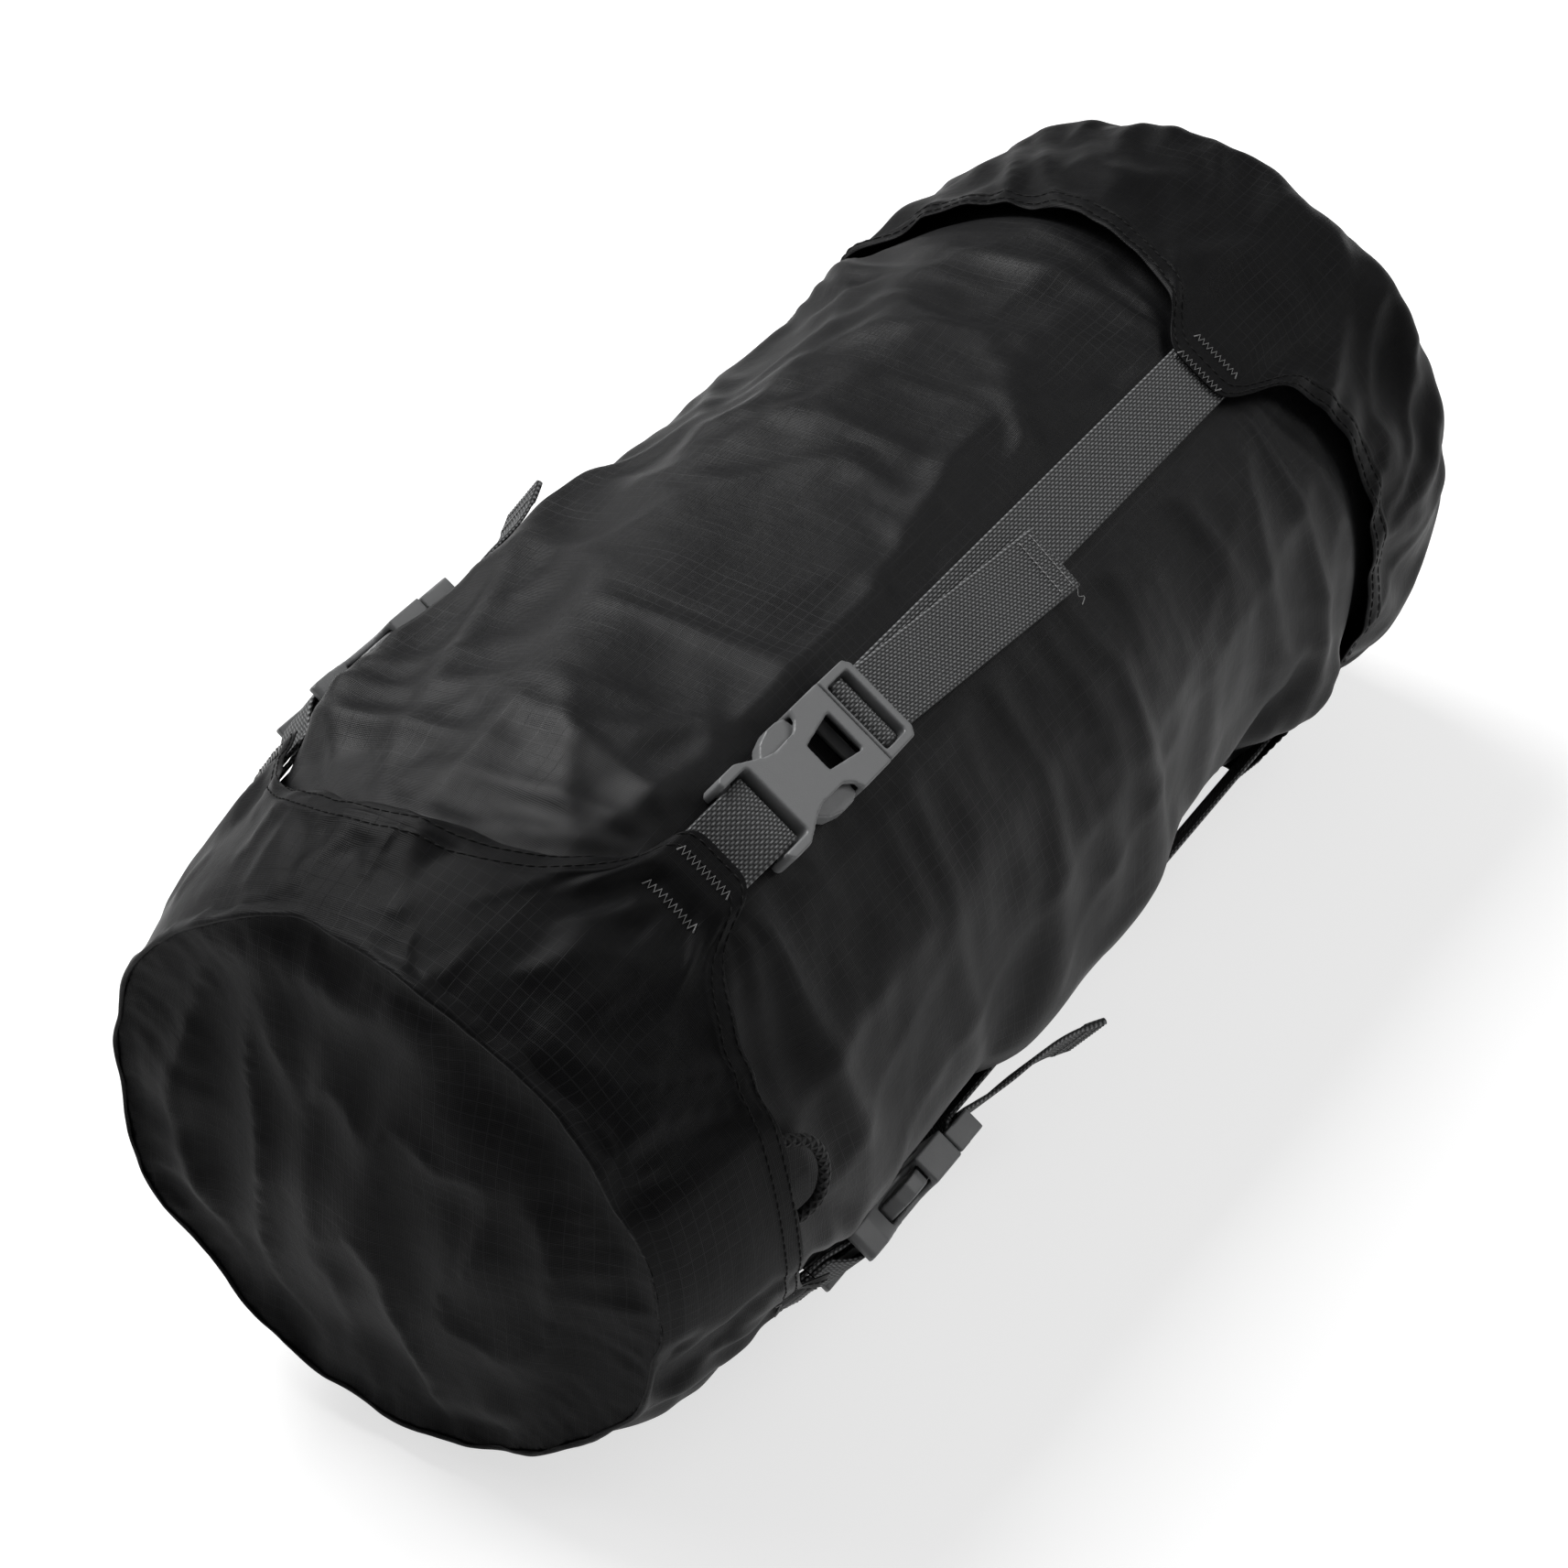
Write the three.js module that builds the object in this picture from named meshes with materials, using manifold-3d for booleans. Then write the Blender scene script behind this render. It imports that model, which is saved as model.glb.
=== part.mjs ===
// Compression stuff sack, packed and lying on its side.
// +X runs along the sack from the lid to the base, +Z is up, and the origin is under the middle.
// Four strap kits run along the sack. Each is built once, in a frame whose Z axis points out
// through the strap, and is turned about the sack's axis to its place.
import * as THREE from 'three';
import { mergeVertices } from 'three/addons/utils/BufferGeometryUtils.js';
import Module from 'manifold-3d';

const wasm = await Module();
wasm.setup();

// Driving dimensions, in millimetres and degrees.
const AXIS_HEIGHT = 93;
const GAP = 0.3;
const CLOTH = 1.0;
const PANEL_STEP = 0.4;
const SEGMENTS = 48;
const STRAP_ANGLE = 34.6;
const STRAP_PLANE = 93.6;
const BODY_STRAP_FLAT = 93.3;
const BODY_FLOOR_FLAT = 91.5;
const BASE_STRAP_FLAT = 96.1;
const LID_STRAP_FLAT = 98;

const LID_TONGUE_X = -136;
const LID_VALLEY_X = -171;
const BASE_TONGUE_X = 106;
const BASE_VALLEY_X = 142;
const TONGUE_HALF_GAP = 58.2;
const SCALLOP_POWER = 2.2;

const WEB_WIDTH = 20;
const WEB = 1.2;
const STRAP_SEWN_END = 132;
const STRAP_FREE_END = -74;

const BUCKLE_HALF_WIDTH = 13.3;
const BUCKLE_BOTTOM = 93.6;
const BUCKLE_TOP = 102.6;
const BUCKLE_NEAR_END = -127;
const BUCKLE_SPLIT_X = -82.5;
const FRAME_FAR_END = -69.3;

const CORD_RADIUS = 1.6;
const CORD_ANGLE = 82;
const CASING_CORD_RADIUS = 80.8;
const CASING_CORD_X = -180.8;
const LEG_RADIUS = 74.5;
const LOCK_X = -195;

// Outlines of the shells, as [x, radius] along the sack.
const BODY_PROFILE = [[-176, 84], [-160, 86.5], [-140, 91.5], [-120, 94], [-60, 96], [0, 96.5],
  [100, 96], [190, 93], [203, 90.2], [209.5, 82.3]];
const LID_PROFILE = [[-211, 82], [-206, 85], [-196, 89.3], [-184, 92.2], [-172, 94.2],
  [-158, 96], [-130, 97.4]];
const BASE_PROFILE = [[100, 98.2], [150, 97.6], [190, 95], [203, 92.5], [209.5, 84.6]];
const LID_DISC_PROFILE = [[-223, 0], [-221.6, 38], [-218, 64], [-214.6, 77], [-211.3, 82]];
const BASE_DISC_PROFILE = [[209.8, 84.6], [213.4, 78], [217.4, 64], [221.4, 38], [223, 0]];

const radians = THREE.MathUtils.degToRad;

// Materials: black ripstop nylon, grey polyester webbing, grey acetal, black cord, spring steel.
const nylon = () => new THREE.MeshStandardMaterial({ color: 0x17181a, roughness: 0.55, metalness: 0 });
const webbing = () => new THREE.MeshStandardMaterial({ color: 0x4b4c4d, roughness: 0.8, metalness: 0 });
const acetal = () => new THREE.MeshStandardMaterial({ color: 0x747678, roughness: 0.42, metalness: 0 });
const cordage = () => new THREE.MeshStandardMaterial({ color: 0x121213, roughness: 0.85, metalness: 0 });
const steel = () => new THREE.MeshStandardMaterial({ color: 0xb4b6b8, roughness: 0.3, metalness: 1 });

// A closed three.js geometry as a manifold solid.
function solid(geometry) {
  geometry.deleteAttribute('normal');
  geometry.deleteAttribute('uv');
  const merged = mergeVertices(geometry, 1e-3);
  const index = merged.index.array;
  const triangles = [];
  for (let i = 0; i < index.length; i += 3) {
    const [a, b, c] = [index[i], index[i + 1], index[i + 2]];
    if (a !== b && b !== c && c !== a) triangles.push(a, b, c);
  }
  return new wasm.Manifold(new wasm.Mesh({
    numProp: 3,
    vertProperties: Float32Array.from(merged.attributes.position.array),
    triVerts: Uint32Array.from(triangles),
  }));
}

// Adds a manifold solid to a group as a named mesh.
function addPiece(group, name, shape, material) {
  const mesh = shape.getMesh();
  const geometry = new THREE.BufferGeometry();
  geometry.setAttribute('position', new THREE.BufferAttribute(mesh.vertProperties, 3));
  geometry.setIndex(new THREE.BufferAttribute(mesh.triVerts, 1));
  geometry.computeVertexNormals();
  const piece = new THREE.Mesh(geometry, material);
  piece.name = name;
  group.add(piece);
}

// A solid of revolution about X from an open outline of [x, radius] points.
function turned(profile, segments = SEGMENTS) {
  const points = profile.map(([x, r]) => new THREE.Vector2(r, x));
  if (profile[0][1] > 0) points.unshift(new THREE.Vector2(0, profile[0][0]));
  if (profile.at(-1)[1] > 0) points.push(new THREE.Vector2(0, profile.at(-1)[0]));
  return solid(new THREE.LatheGeometry(points, segments).rotateZ(-Math.PI / 2));
}

// A rectangular ring about X.
function ring(x0, x1, r0, r1) {
  return turned([[x0, r1], [x1, r1]]).subtract(turned([[x0 - 1, r0], [x1 + 1, r0]]));
}

function box(x0, x1, y0, y1, z0, z1) {
  const geometry = new THREE.BoxGeometry(x1 - x0, y1 - y0, z1 - z0);
  return solid(geometry.translate((x0 + x1) / 2, (y0 + y1) / 2, (z0 + z1) / 2));
}

// The space inside the four strap planes and above the floor plane.
function flats(strapFlat, floorFlat) {
  const side = 2 * strapFlat;
  const square = new THREE.BoxGeometry(600, side, side).rotateX(radians(STRAP_ANGLE));
  return solid(square).intersect(box(-300, 300, -150, 150, -floorFlat, 150));
}

// A cloth shell open at both ends.
function shell(profile, strapFlat, floorFlat) {
  const outer = turned(profile).intersect(flats(strapFlat, floorFlat));
  const inside = profile.map(([x, r]) => [x, r - CLOTH]);
  inside.unshift([inside[0][0] - 1, inside[0][1]]);
  inside.push([inside.at(-1)[0] + 1, inside.at(-1)[1]]);
  return outer.subtract(turned(inside).intersect(flats(strapFlat - CLOTH, floorFlat - CLOTH)));
}

// A bulged end panel: the turned outline less the same outline moved inwards by the cloth.
function endPanel(profile, inwards) {
  const inside = profile.map(([x, r]) => [x + inwards * CLOTH, Math.max(r - PANEL_STEP, 0)]);
  return turned(profile).subtract(turned(inside));
}

// Cuts the four arches between the hem's tongues. depth is signed: the way the arch is cut.
function scallop(hem, tongueX, valleyX) {
  const depth = valleyX - tongueX;
  const steps = 16;
  const outline = new THREE.Shape();
  outline.moveTo(-TONGUE_HALF_GAP, tongueX - depth);
  for (let i = 0; i <= steps; i += 1) {
    const across = -Math.cos(Math.PI * i / steps);
    const along = (1 - Math.abs(across) ** SCALLOP_POWER) ** (1 / SCALLOP_POWER);
    outline.lineTo(across * TONGUE_HALF_GAP, tongueX + depth * along);
  }
  outline.lineTo(TONGUE_HALF_GAP, tongueX - depth);
  outline.closePath();
  const edge = Math.sign(-depth) * (Math.abs(depth) + 20);
  const trim = box(Math.min(tongueX, tongueX + edge), Math.max(tongueX, tongueX + edge),
    -150, 150, -150, 150);
  let cut = hem.subtract(trim);
  for (let k = 0; k < 4; k += 1) {
    // The outline's own axes become the sack's Y and X, and its depth points outwards.
    const arch = new THREE.ExtrudeGeometry(outline, { depth: 80, bevelEnabled: false, curveSegments: 1 });
    arch.rotateZ(-Math.PI / 2).translate(0, 0, 45).rotateX(radians(STRAP_ANGLE + 45 + 90 * k));
    cut = cut.subtract(solid(arch));
  }
  return cut;
}

// A flat outline in the kit's X and Y, from one height to another.
function plate(points, z0, z1) {
  const outline = new THREE.Shape(points.map(([x, y]) => new THREE.Vector2(x, y)));
  return solid(new THREE.ExtrudeGeometry(outline, { depth: z1 - z0, bevelEnabled: false })
    .translate(0, 0, z0));
}

// The same outline on both sides of the kit's centre line.
function mirrored(points) {
  return [...points, ...points.toReversed().map(([x, y]) => [x, -y])];
}

// A strip of webbing whose edge is an outline in the kit's X and Z.
function strip(points, halfWidth) {
  const outline = new THREE.Shape(points.map(([x, z]) => new THREE.Vector2(x, z)));
  return solid(new THREE.ExtrudeGeometry(outline, { depth: 2 * halfWidth, bevelEnabled: false })
    .rotateX(Math.PI / 2).translate(0, halfWidth, 0));
}

// The two edges of a webbing path, half a thickness to each side of its centre line.
function thickened(path, thickness) {
  const left = [];
  const right = [];
  path.forEach(([x, z], i) => {
    const [x0, z0] = path[Math.max(i - 1, 0)];
    const [x1, z1] = path[Math.min(i + 1, path.length - 1)];
    const length = Math.hypot(x1 - x0, z1 - z0);
    const across = [-(z1 - z0) / length * thickness / 2, (x1 - x0) / length * thickness / 2];
    left.push([x + across[0], z + across[1]]);
    right.unshift([x - across[0], z - across[1]]);
  });
  return [...left, ...right];
}

// An arc of path points about a centre, from one angle to another.
function arc(x, z, radius, from, to, steps) {
  return Array.from({ length: steps + 1 }, (_, i) => {
    const angle = radians(from + (to - from) * i / steps);
    return [x + radius * Math.cos(angle), z + radius * Math.sin(angle)];
  });
}

// A round cord along a smooth curve through points.
function cord(points, radius, sides, steps) {
  const section = new THREE.Shape();
  for (let i = 0; i < sides; i += 1) {
    const angle = 2 * Math.PI * i / sides;
    const move = i === 0 ? 'moveTo' : 'lineTo';
    section[move](radius * Math.cos(angle), radius * Math.sin(angle));
  }
  section.closePath();
  const curve = new THREE.CatmullRomCurve3(points, false, 'centripetal');
  return solid(new THREE.ExtrudeGeometry(section, { steps, bevelEnabled: false, extrudePath: curve }));
}

// A point round the sack: x along it, a radius and an angle from the top towards -Y.
function around(x, radius, degrees) {
  const angle = radians(degrees);
  return new THREE.Vector3(x, -radius * Math.sin(angle), radius * Math.cos(angle));
}

// Sack body: the tube, the casing round its open mouth, and the base's outer skirt and end panel.
function sackBody() {
  const group = new THREE.Group();
  const eyelet = solid(new THREE.BoxGeometry(5, 16, 6)
    .translate(-185, 0, CASING_CORD_RADIUS - 1).rotateX(radians(CORD_ANGLE)));
  const casing = ring(-185.3, -176.3, 77.6, 84)
    .subtract(ring(-184.3, -177.3, 78.6, 83))
    .subtract(eyelet);
  addPiece(group, 'body_tube', shell(BODY_PROFILE, BODY_STRAP_FLAT, BODY_FLOOR_FLAT), nylon());
  addPiece(group, 'mouth_casing', casing, nylon());
  addPiece(group, 'base_skirt',
    scallop(shell(BASE_PROFILE, BASE_STRAP_FLAT, AXIS_HEIGHT), BASE_TONGUE_X, BASE_VALLEY_X), nylon());
  addPiece(group, 'base_panel', endPanel(BASE_DISC_PROFILE, -1), nylon());
  return group;
}

// The lid that covers the mouth: a scalloped skirt and an end panel.
function sackLid() {
  const group = new THREE.Group();
  addPiece(group, 'lid_skirt',
    scallop(shell(LID_PROFILE, LID_STRAP_FLAT, AXIS_HEIGHT), LID_TONGUE_X, LID_VALLEY_X), nylon());
  addPiece(group, 'lid_panel', endPanel(LID_DISC_PROFILE, 1), nylon());
  return group;
}

// Drawcord: a ring in the casing whose two ends pass the lock, and the free loop beyond it.
function drawcord() {
  const group = new THREE.Group();
  const leg = (way) => cord([
    [LOCK_X - 5.5, LEG_RADIUS, 1.7],
    [LOCK_X, LEG_RADIUS, 1.7],
    [LOCK_X + 6.5, LEG_RADIUS, 1.7],
    [-186.2, 77.2, 1.9],
    [-183, 80.2, 3.4],
    [CASING_CORD_X, CASING_CORD_RADIUS, 7.5],
  ].map(([x, r, degrees]) => around(x, r, CORD_ANGLE + way * degrees)), CORD_RADIUS, 8, 14);
  const turns = 48;
  const round = Array.from({ length: turns + 1 }, (_, i) =>
    around(CASING_CORD_X, CASING_CORD_RADIUS, CORD_ANGLE + 7 + (360 - 14) * i / turns));
  addPiece(group, 'drawcord_ring', cord(round, CORD_RADIUS, 8, turns).add(leg(1)).add(leg(-1)), cordage());

  const side = [
    [LOCK_X - 6, LEG_RADIUS, 1.7],
    [LOCK_X - 7.4, LEG_RADIUS, 1.75],
    [-204.4, 75, 3.1],
    [-205.9, 76, 6.2],
    [-203.6, 77.4, 9],
    [-199, 80, 9.8],
    [-192, 84, 9.4],
    [-184, 86.9, 8.9],
    [-174, 88.6, 8.6],
    [-166, 91.2, 8.2],
    [-158, 94.8, 5.4],
  ];
  const loop = side.map(([x, r, degrees]) => around(x, r, CORD_ANGLE - degrees));
  loop.push(around(-155.2, 95.6, CORD_ANGLE));
  loop.push(...side.toReversed().map(([x, r, degrees]) => around(x, r, CORD_ANGLE + degrees)));
  addPiece(group, 'drawcord_loop', cord(loop, CORD_RADIUS, 8, 76), cordage());

  const lock = new THREE.Group();
  lock.rotation.x = radians(CORD_ANGLE);
  const stand = (radius, z0, z1) => solid(new THREE.CylinderGeometry(radius, radius, z1 - z0, 20)
    .rotateX(Math.PI / 2).translate(LOCK_X, 0, (z0 + z1) / 2));
  const slotHalfWidth = 4.5;
  const hole = (z0, z1) => box(LOCK_X - 10, LOCK_X + 10, -slotHalfWidth, slotHalfWidth, z0, z1);
  const barrel = stand(6.6, 63, 85).subtract(stand(5.6, 60, 83.7))
    .subtract(hole(LEG_RADIUS - 2.1, LEG_RADIUS + 2.3));
  const plunger = stand(5.3, 58.5, 79.2).subtract(hole(LEG_RADIUS - 4.6, LEG_RADIUS + 2.1));
  addPiece(lock, 'cord_lock_barrel', barrel, acetal());
  addPiece(lock, 'cord_lock_plunger', plunger, acetal());
  const coil = Array.from({ length: 25 }, (_, i) => {
    const angle = 2 * Math.PI * i / 8;
    return new THREE.Vector3(LOCK_X + 3.8 * Math.cos(angle), 3.8 * Math.sin(angle), 80 + 2.9 * i / 24);
  });
  addPiece(lock, 'cord_lock_spring', cord(coil, 0.35, 5, 36), steel());
  group.add(lock);
  return group;
}

// The socket half of a side-release buckle, with a bar for the lid's webbing tab.
function buckleSocket() {
  const outline = mirrored([
    [BUCKLE_NEAR_END, 12.4], [-125.8, BUCKLE_HALF_WIDTH], [-119.5, BUCKLE_HALF_WIDTH],
    [-111.2, 9.4], [-107.5, 8.4], [-99, 8.6], [-96.2, 10.4], [-95, BUCKLE_HALF_WIDTH],
    [BUCKLE_SPLIT_X, BUCKLE_HALF_WIDTH],
  ]);
  const trapezoid = mirrored([[-99, 4], [-86.6, 6.2]]);
  return plate(outline, BUCKLE_BOTTOM, BUCKLE_TOP)
    .subtract(box(-112.6, -80, -11.9, 11.9, 95.2, 101))
    .subtract(plate(trapezoid, BUCKLE_BOTTOM - 1, BUCKLE_TOP + 1))
    .subtract(box(-130, -117.4, -10.6, 10.6, BUCKLE_BOTTOM - 1, BUCKLE_TOP + 1))
    .add(box(-126, -122.2, -12, 12, 97, 99.2));
}

// The plug half's frame: a ladder lock with a centre bar that grips the strap and an end bar.
function buckleFrame() {
  const x0 = BUCKLE_SPLIT_X + GAP;
  const outline = mirrored([[x0, BUCKLE_HALF_WIDTH - 0.1], [FRAME_FAR_END - 1.6, 13], [FRAME_FAR_END, 11]]);
  return plate(outline, 95.4, 102.2)
    .subtract(box(-80.8, -72, -10.6, 10.6, 90, 110))
    .add(box(-78.3, -75.9, -12, 12, 97.6, 100))
    .subtract(box(-75, -60, -10.6, 10.6, 90, 98))
    .add(box(x0 - 9, x0 + 1, -3.8, 3.8, 97, 99.4));
}

// One latch arm, a springy finger whose round head shows in the socket's side window.
function latchArm(side) {
  const outline = [
    [-82.6, 6.4], [-82.6, 9], [-92, 9.4], [-95.8, 9.9], [-96.3, 12.6], [-98.8, 13.5],
    [-103, 13.6], [-107.6, 12.3], [-111.4, 9.2], [-111.4, 6.8], [-104, 6.4],
  ];
  return plate(outline.map(([x, y]) => [x, side * y]), 95.8, 100.4);
}

// The strap's turn round the frame's centre bar, and its free tail with a folded end.
function strapTail(length, lift, swing) {
  const top = STRAP_PLANE + 1.5 * WEB + GAP;
  const turn = [
    [-74.4, 94.3], [-76.4, 95], ...arc(-77.2, 98.8, 2.6, 240, 90, 8),
    [-75.2, 100.8], [-73.9, 98.4], [-72.6, 96.6], [-70.4, top], [-66, top],
  ];
  const tail = strip(thickened([[-69.6, 0], [length - 71, 0]], WEB), WEB_WIDTH / 2)
    .add(box(length - 77, length - 70, -WEB_WIDTH / 2, WEB_WIDTH / 2, 0, 1.5 * WEB + 0.2));
  return strip(thickened(turn, WEB), WEB_WIDTH / 2)
    .add(tail.translate([69.6, 0, 0]).rotate([0, -lift, swing]).translate([-69.6, 0, top]));
}

// The doubled web tab sewn under the lid's tongue and looped round the socket's bar.
function lidTab() {
  const edge = [
    [-150, 90.6], [-135, 92.5], [-128, 94.4], [-122.4, 95], ...arc(-121.6, 98.1, 3.1, -90, 80, 8),
    [-126.6, 100.9], [-130, 99], [-135, 94.7], [-150, 92.8],
  ];
  const eye = [
    [-129.4, 97], [-127, 96.2], [-122.6, 96.2], ...arc(-122, 98.1, 1.9, -70, 70, 5),
    [-126.4, 99.7],
  ];
  return strip(edge, WEB_WIDTH / 2).subtract(strip(eye, WEB_WIDTH / 2 + 1));
}

// One strap kit: the strap sewn to the base, the buckle's two halves and the lid's tab.
function strapKit(name, index, tailLength, tailLift, tailSwing) {
  const kit = new THREE.Group();
  kit.rotation.x = radians(STRAP_ANGLE + 90 * index);
  addPiece(kit, `${name}_strap`,
    box(STRAP_FREE_END, STRAP_SEWN_END, -WEB_WIDTH / 2, WEB_WIDTH / 2, STRAP_PLANE, STRAP_PLANE + WEB),
    webbing());
  addPiece(kit, `${name}_strap_tail`, strapTail(tailLength, tailLift, tailSwing), webbing());
  addPiece(kit, `${name}_lid_tab`, lidTab(), webbing());
  addPiece(kit, `${name}_buckle_socket`, buckleSocket(), acetal());
  addPiece(kit, `${name}_buckle_frame`, buckleFrame(), acetal());
  addPiece(kit, `${name}_latch_left`, latchArm(1), acetal());
  addPiece(kit, `${name}_latch_right`, latchArm(-1), acetal());
  return kit;
}

const sack = new THREE.Group();
sack.position.z = AXIS_HEIGHT;
sack.add(sackBody(), sackLid(), drawcord());
// Each kit's place, then its tail's length, lift off the sack and swing to the side.
sack.add(strapKit('top', 0, 83, 1.5, -5));
sack.add(strapKit('front', 1, 60, 14, 0));
sack.add(strapKit('under', 2, 70, 1.5, 0));
sack.add(strapKit('back', 3, 50, 12, 0));

const part = new THREE.Group();
part.add(sack);
export default part;
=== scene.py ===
import math

import bmesh
import bpy
import numpy as np
from mathutils import Matrix, Vector, noise
from mathutils.bvhtree import BVHTree
from mathutils.geometry import delaunay_2d_cdt

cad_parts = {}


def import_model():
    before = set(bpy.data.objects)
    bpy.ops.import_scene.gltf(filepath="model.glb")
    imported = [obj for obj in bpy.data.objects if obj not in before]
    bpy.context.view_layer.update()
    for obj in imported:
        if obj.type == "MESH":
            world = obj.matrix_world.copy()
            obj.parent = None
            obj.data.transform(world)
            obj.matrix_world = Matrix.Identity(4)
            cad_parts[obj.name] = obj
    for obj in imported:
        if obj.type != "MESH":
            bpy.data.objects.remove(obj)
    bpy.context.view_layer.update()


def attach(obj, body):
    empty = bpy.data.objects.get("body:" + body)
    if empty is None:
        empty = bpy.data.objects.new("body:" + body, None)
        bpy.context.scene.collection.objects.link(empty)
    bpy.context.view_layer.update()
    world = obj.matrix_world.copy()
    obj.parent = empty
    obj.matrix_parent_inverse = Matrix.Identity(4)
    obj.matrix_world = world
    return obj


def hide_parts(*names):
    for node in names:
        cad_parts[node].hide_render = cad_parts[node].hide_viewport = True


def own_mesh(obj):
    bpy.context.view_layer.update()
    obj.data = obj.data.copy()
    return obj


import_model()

# Sizes in millimetres and degrees. Angles round the sack run from the top (+Z) towards -Y.
MM = 0.001
AXIS_HEIGHT = 93
STRAP_ANGLE = 34.6
KITS = ("top", "front", "under", "back")
KIT_ANGLES = [STRAP_ANGLE + 90 * k for k in range(4)]
STRAP_PLANE = 93.6
WEB = 1.2
WEB_WIDTH = 20
STRAP_SEWN_END = 132
TONGUES = {"lid": -136, "base": 106}
ARCH_HALF_ANGLE = 37.8
GIRTH_RADIUS = 96
# Heights about the sack's axis at which the body's cloth and the caps' meet the floor.
FLOOR = -92.2
CAP_FLOOR = -92.7
STITCH_LINES = (1.9, 6.2)
# Rays that look for the cloth's surface start this far from the axis.
RAY_START = 112

# Outlines of [x, radius] points.
BODY_PROFILE = [(-176, 84), (-168, 86), (-155, 89.5), (-140, 92.5), (-120, 94), (-60, 95.6),
                (0, 96), (60, 95.6), (110, 95.8), (190, 93), (203, 90.2), (209.5, 82.3)]
CAP_PROFILES = {
    "lid": [(-211, 82), (-207, 84.6), (-200, 87.8), (-190, 90.8), (-176, 93.2), (-160, 94.8),
            (-130, 97)],
    "base": [(100, 97.4), (150, 97.2), (190, 95), (199, 93.4), (205, 89.8), (210, 83.6)],
}
SEAMS = {"lid": -211.2, "base": 210.2}
# Which way along X each cap closes.
WAYS = {"lid": -1, "base": 1}

CORD_RADIUS = 1.6
CORD_ANGLE = 82
LOCK_CENTRE = -195


# ---------------- small helpers

def around(x, radius, degrees):
    """A point on the sack in metres: x along it, a radius and an angle from the top towards -Y."""
    a = math.radians(degrees)
    return Vector((x, -radius * math.sin(a), AXIS_HEIGHT + radius * math.cos(a))) * MM


def ring_of(x, radius, degrees):
    """Points on the sack in millimetres about its axis, as one array."""
    turn = np.radians(degrees)
    return np.stack([x, -radius * np.sin(turn), radius * np.cos(turn)], -1)


def split_xyz(points):
    """The x, y and z of an array of points."""
    return points[..., 0], points[..., 1], points[..., 2]


def kit_matrix(degrees):
    lift = Matrix.Translation((0, 0, AXIS_HEIGHT * MM))
    return lift @ Matrix.Rotation(math.radians(degrees), 4, "X")


def link(data):
    """A new object in the scene for a mesh, lamp or camera, by its name."""
    obj = bpy.data.objects.new(data.name, data)
    bpy.context.scene.collection.objects.link(obj)
    return obj


def new_mesh(name, verts, faces, weave=None):
    """A smooth mesh from points in millimetres. weave gives each face's corners their place on
    the flat cloth, also in millimetres."""
    mesh = bpy.data.meshes.new(name)
    mesh.from_pydata((np.asarray(verts, float) * MM).tolist(), [], faces)
    mesh.polygons.foreach_set("use_smooth", [True] * len(mesh.polygons))
    if weave is not None:
        flat = np.array([corner for face in weave for corner in face], np.float32) * MM
        mesh.uv_layers.new(name="weave").data.foreach_set("uv", flat.ravel())
    mesh.update()
    return mesh


def grid_mesh(name, points, u, v, ends=False):
    """A mesh from rows of points, whose last column joins its first. u and v, the places on the
    flat cloth, have one column more. ends closes the first and last row."""
    points = np.asarray(points, float)
    rows, columns = points.shape[:2]
    faces, weave = [], []
    for i in range(rows - 1):
        for j in range(columns):
            n = (j + 1) % columns
            faces.append((i * columns + j, i * columns + n, (i + 1) * columns + n,
                          (i + 1) * columns + j))
            weave.append([(u[a, b], v[a, b]) for a, b in ((i, j), (i, j + 1), (i + 1, j + 1),
                                                          (i + 1, j))])
    if ends:
        for row, order in ((0, range(columns - 1, -1, -1)), (rows - 1, range(columns))):
            faces.append(tuple(row * columns + j for j in order))
            weave.append([(u[row, j], v[row, j]) for j in order])
    return new_mesh(name, points.reshape(-1, 3), faces, weave)


def coordinates(mesh):
    """A mesh's vertices as an array of points."""
    co = np.zeros(len(mesh.vertices) * 3)
    mesh.vertices.foreach_get("co", co)
    return co.reshape(-1, 3)


def applied(obj):
    """Replaces the object's mesh by its evaluated one, so that no modifier is left."""
    graph = bpy.context.evaluated_depsgraph_get()
    mesh = bpy.data.meshes.new_from_object(obj.evaluated_get(graph), depsgraph=graph)
    obj.modifiers.clear()
    obj.data = mesh
    return obj


def finish_piece(obj, body, material, slot, *nodes):
    """Gives a piece its material and its body, and hides the CAD nodes it stands for."""
    obj.data.materials.clear()
    obj.data.materials.append(material)
    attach(obj, body)
    if nodes:
        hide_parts(*nodes)
    return obj


def smooth_step(x, low, high):
    """0 under low and 1 over high, with a smooth rise between."""
    t = np.clip((x - low) / (high - low), 0, 1)
    return t * t * (3 - 2 * t)


def catmull(points, per_span):
    """A smooth curve through points, with the same number of steps in each span."""
    p = [Vector(q) for q in points]
    p = [2 * p[0] - p[1], *p, 2 * p[-1] - p[-2]]
    out = []
    for i in range(1, len(p) - 2):
        for k in range(per_span):
            t = k / per_span
            a = 2 * p[i]
            b = p[i + 1] - p[i - 1]
            c = 2 * p[i - 1] - 5 * p[i] + 4 * p[i + 1] - p[i + 2]
            d = 3 * p[i] - p[i - 1] - 3 * p[i + 1] + p[i + 2]
            out.append((a + b * t + c * t * t + d * t ** 3) / 2)
    out.append(p[-2])
    return out


def frames(path, sides=None):
    """The tangent and a side vector at each point of a path. Where no sides are given, they
    twist as little as can be."""
    out, side = [], None
    for i in range(len(path)):
        ahead = (path[min(i + 1, len(path) - 1)] - path[max(i - 1, 0)]).normalized()
        if sides is not None:
            side = Vector(sides[i])
        elif side is None:
            side = ahead.orthogonal()
        side = (side - ahead * side.dot(ahead)).normalized()
        out.append((ahead, side))
    return out


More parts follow.
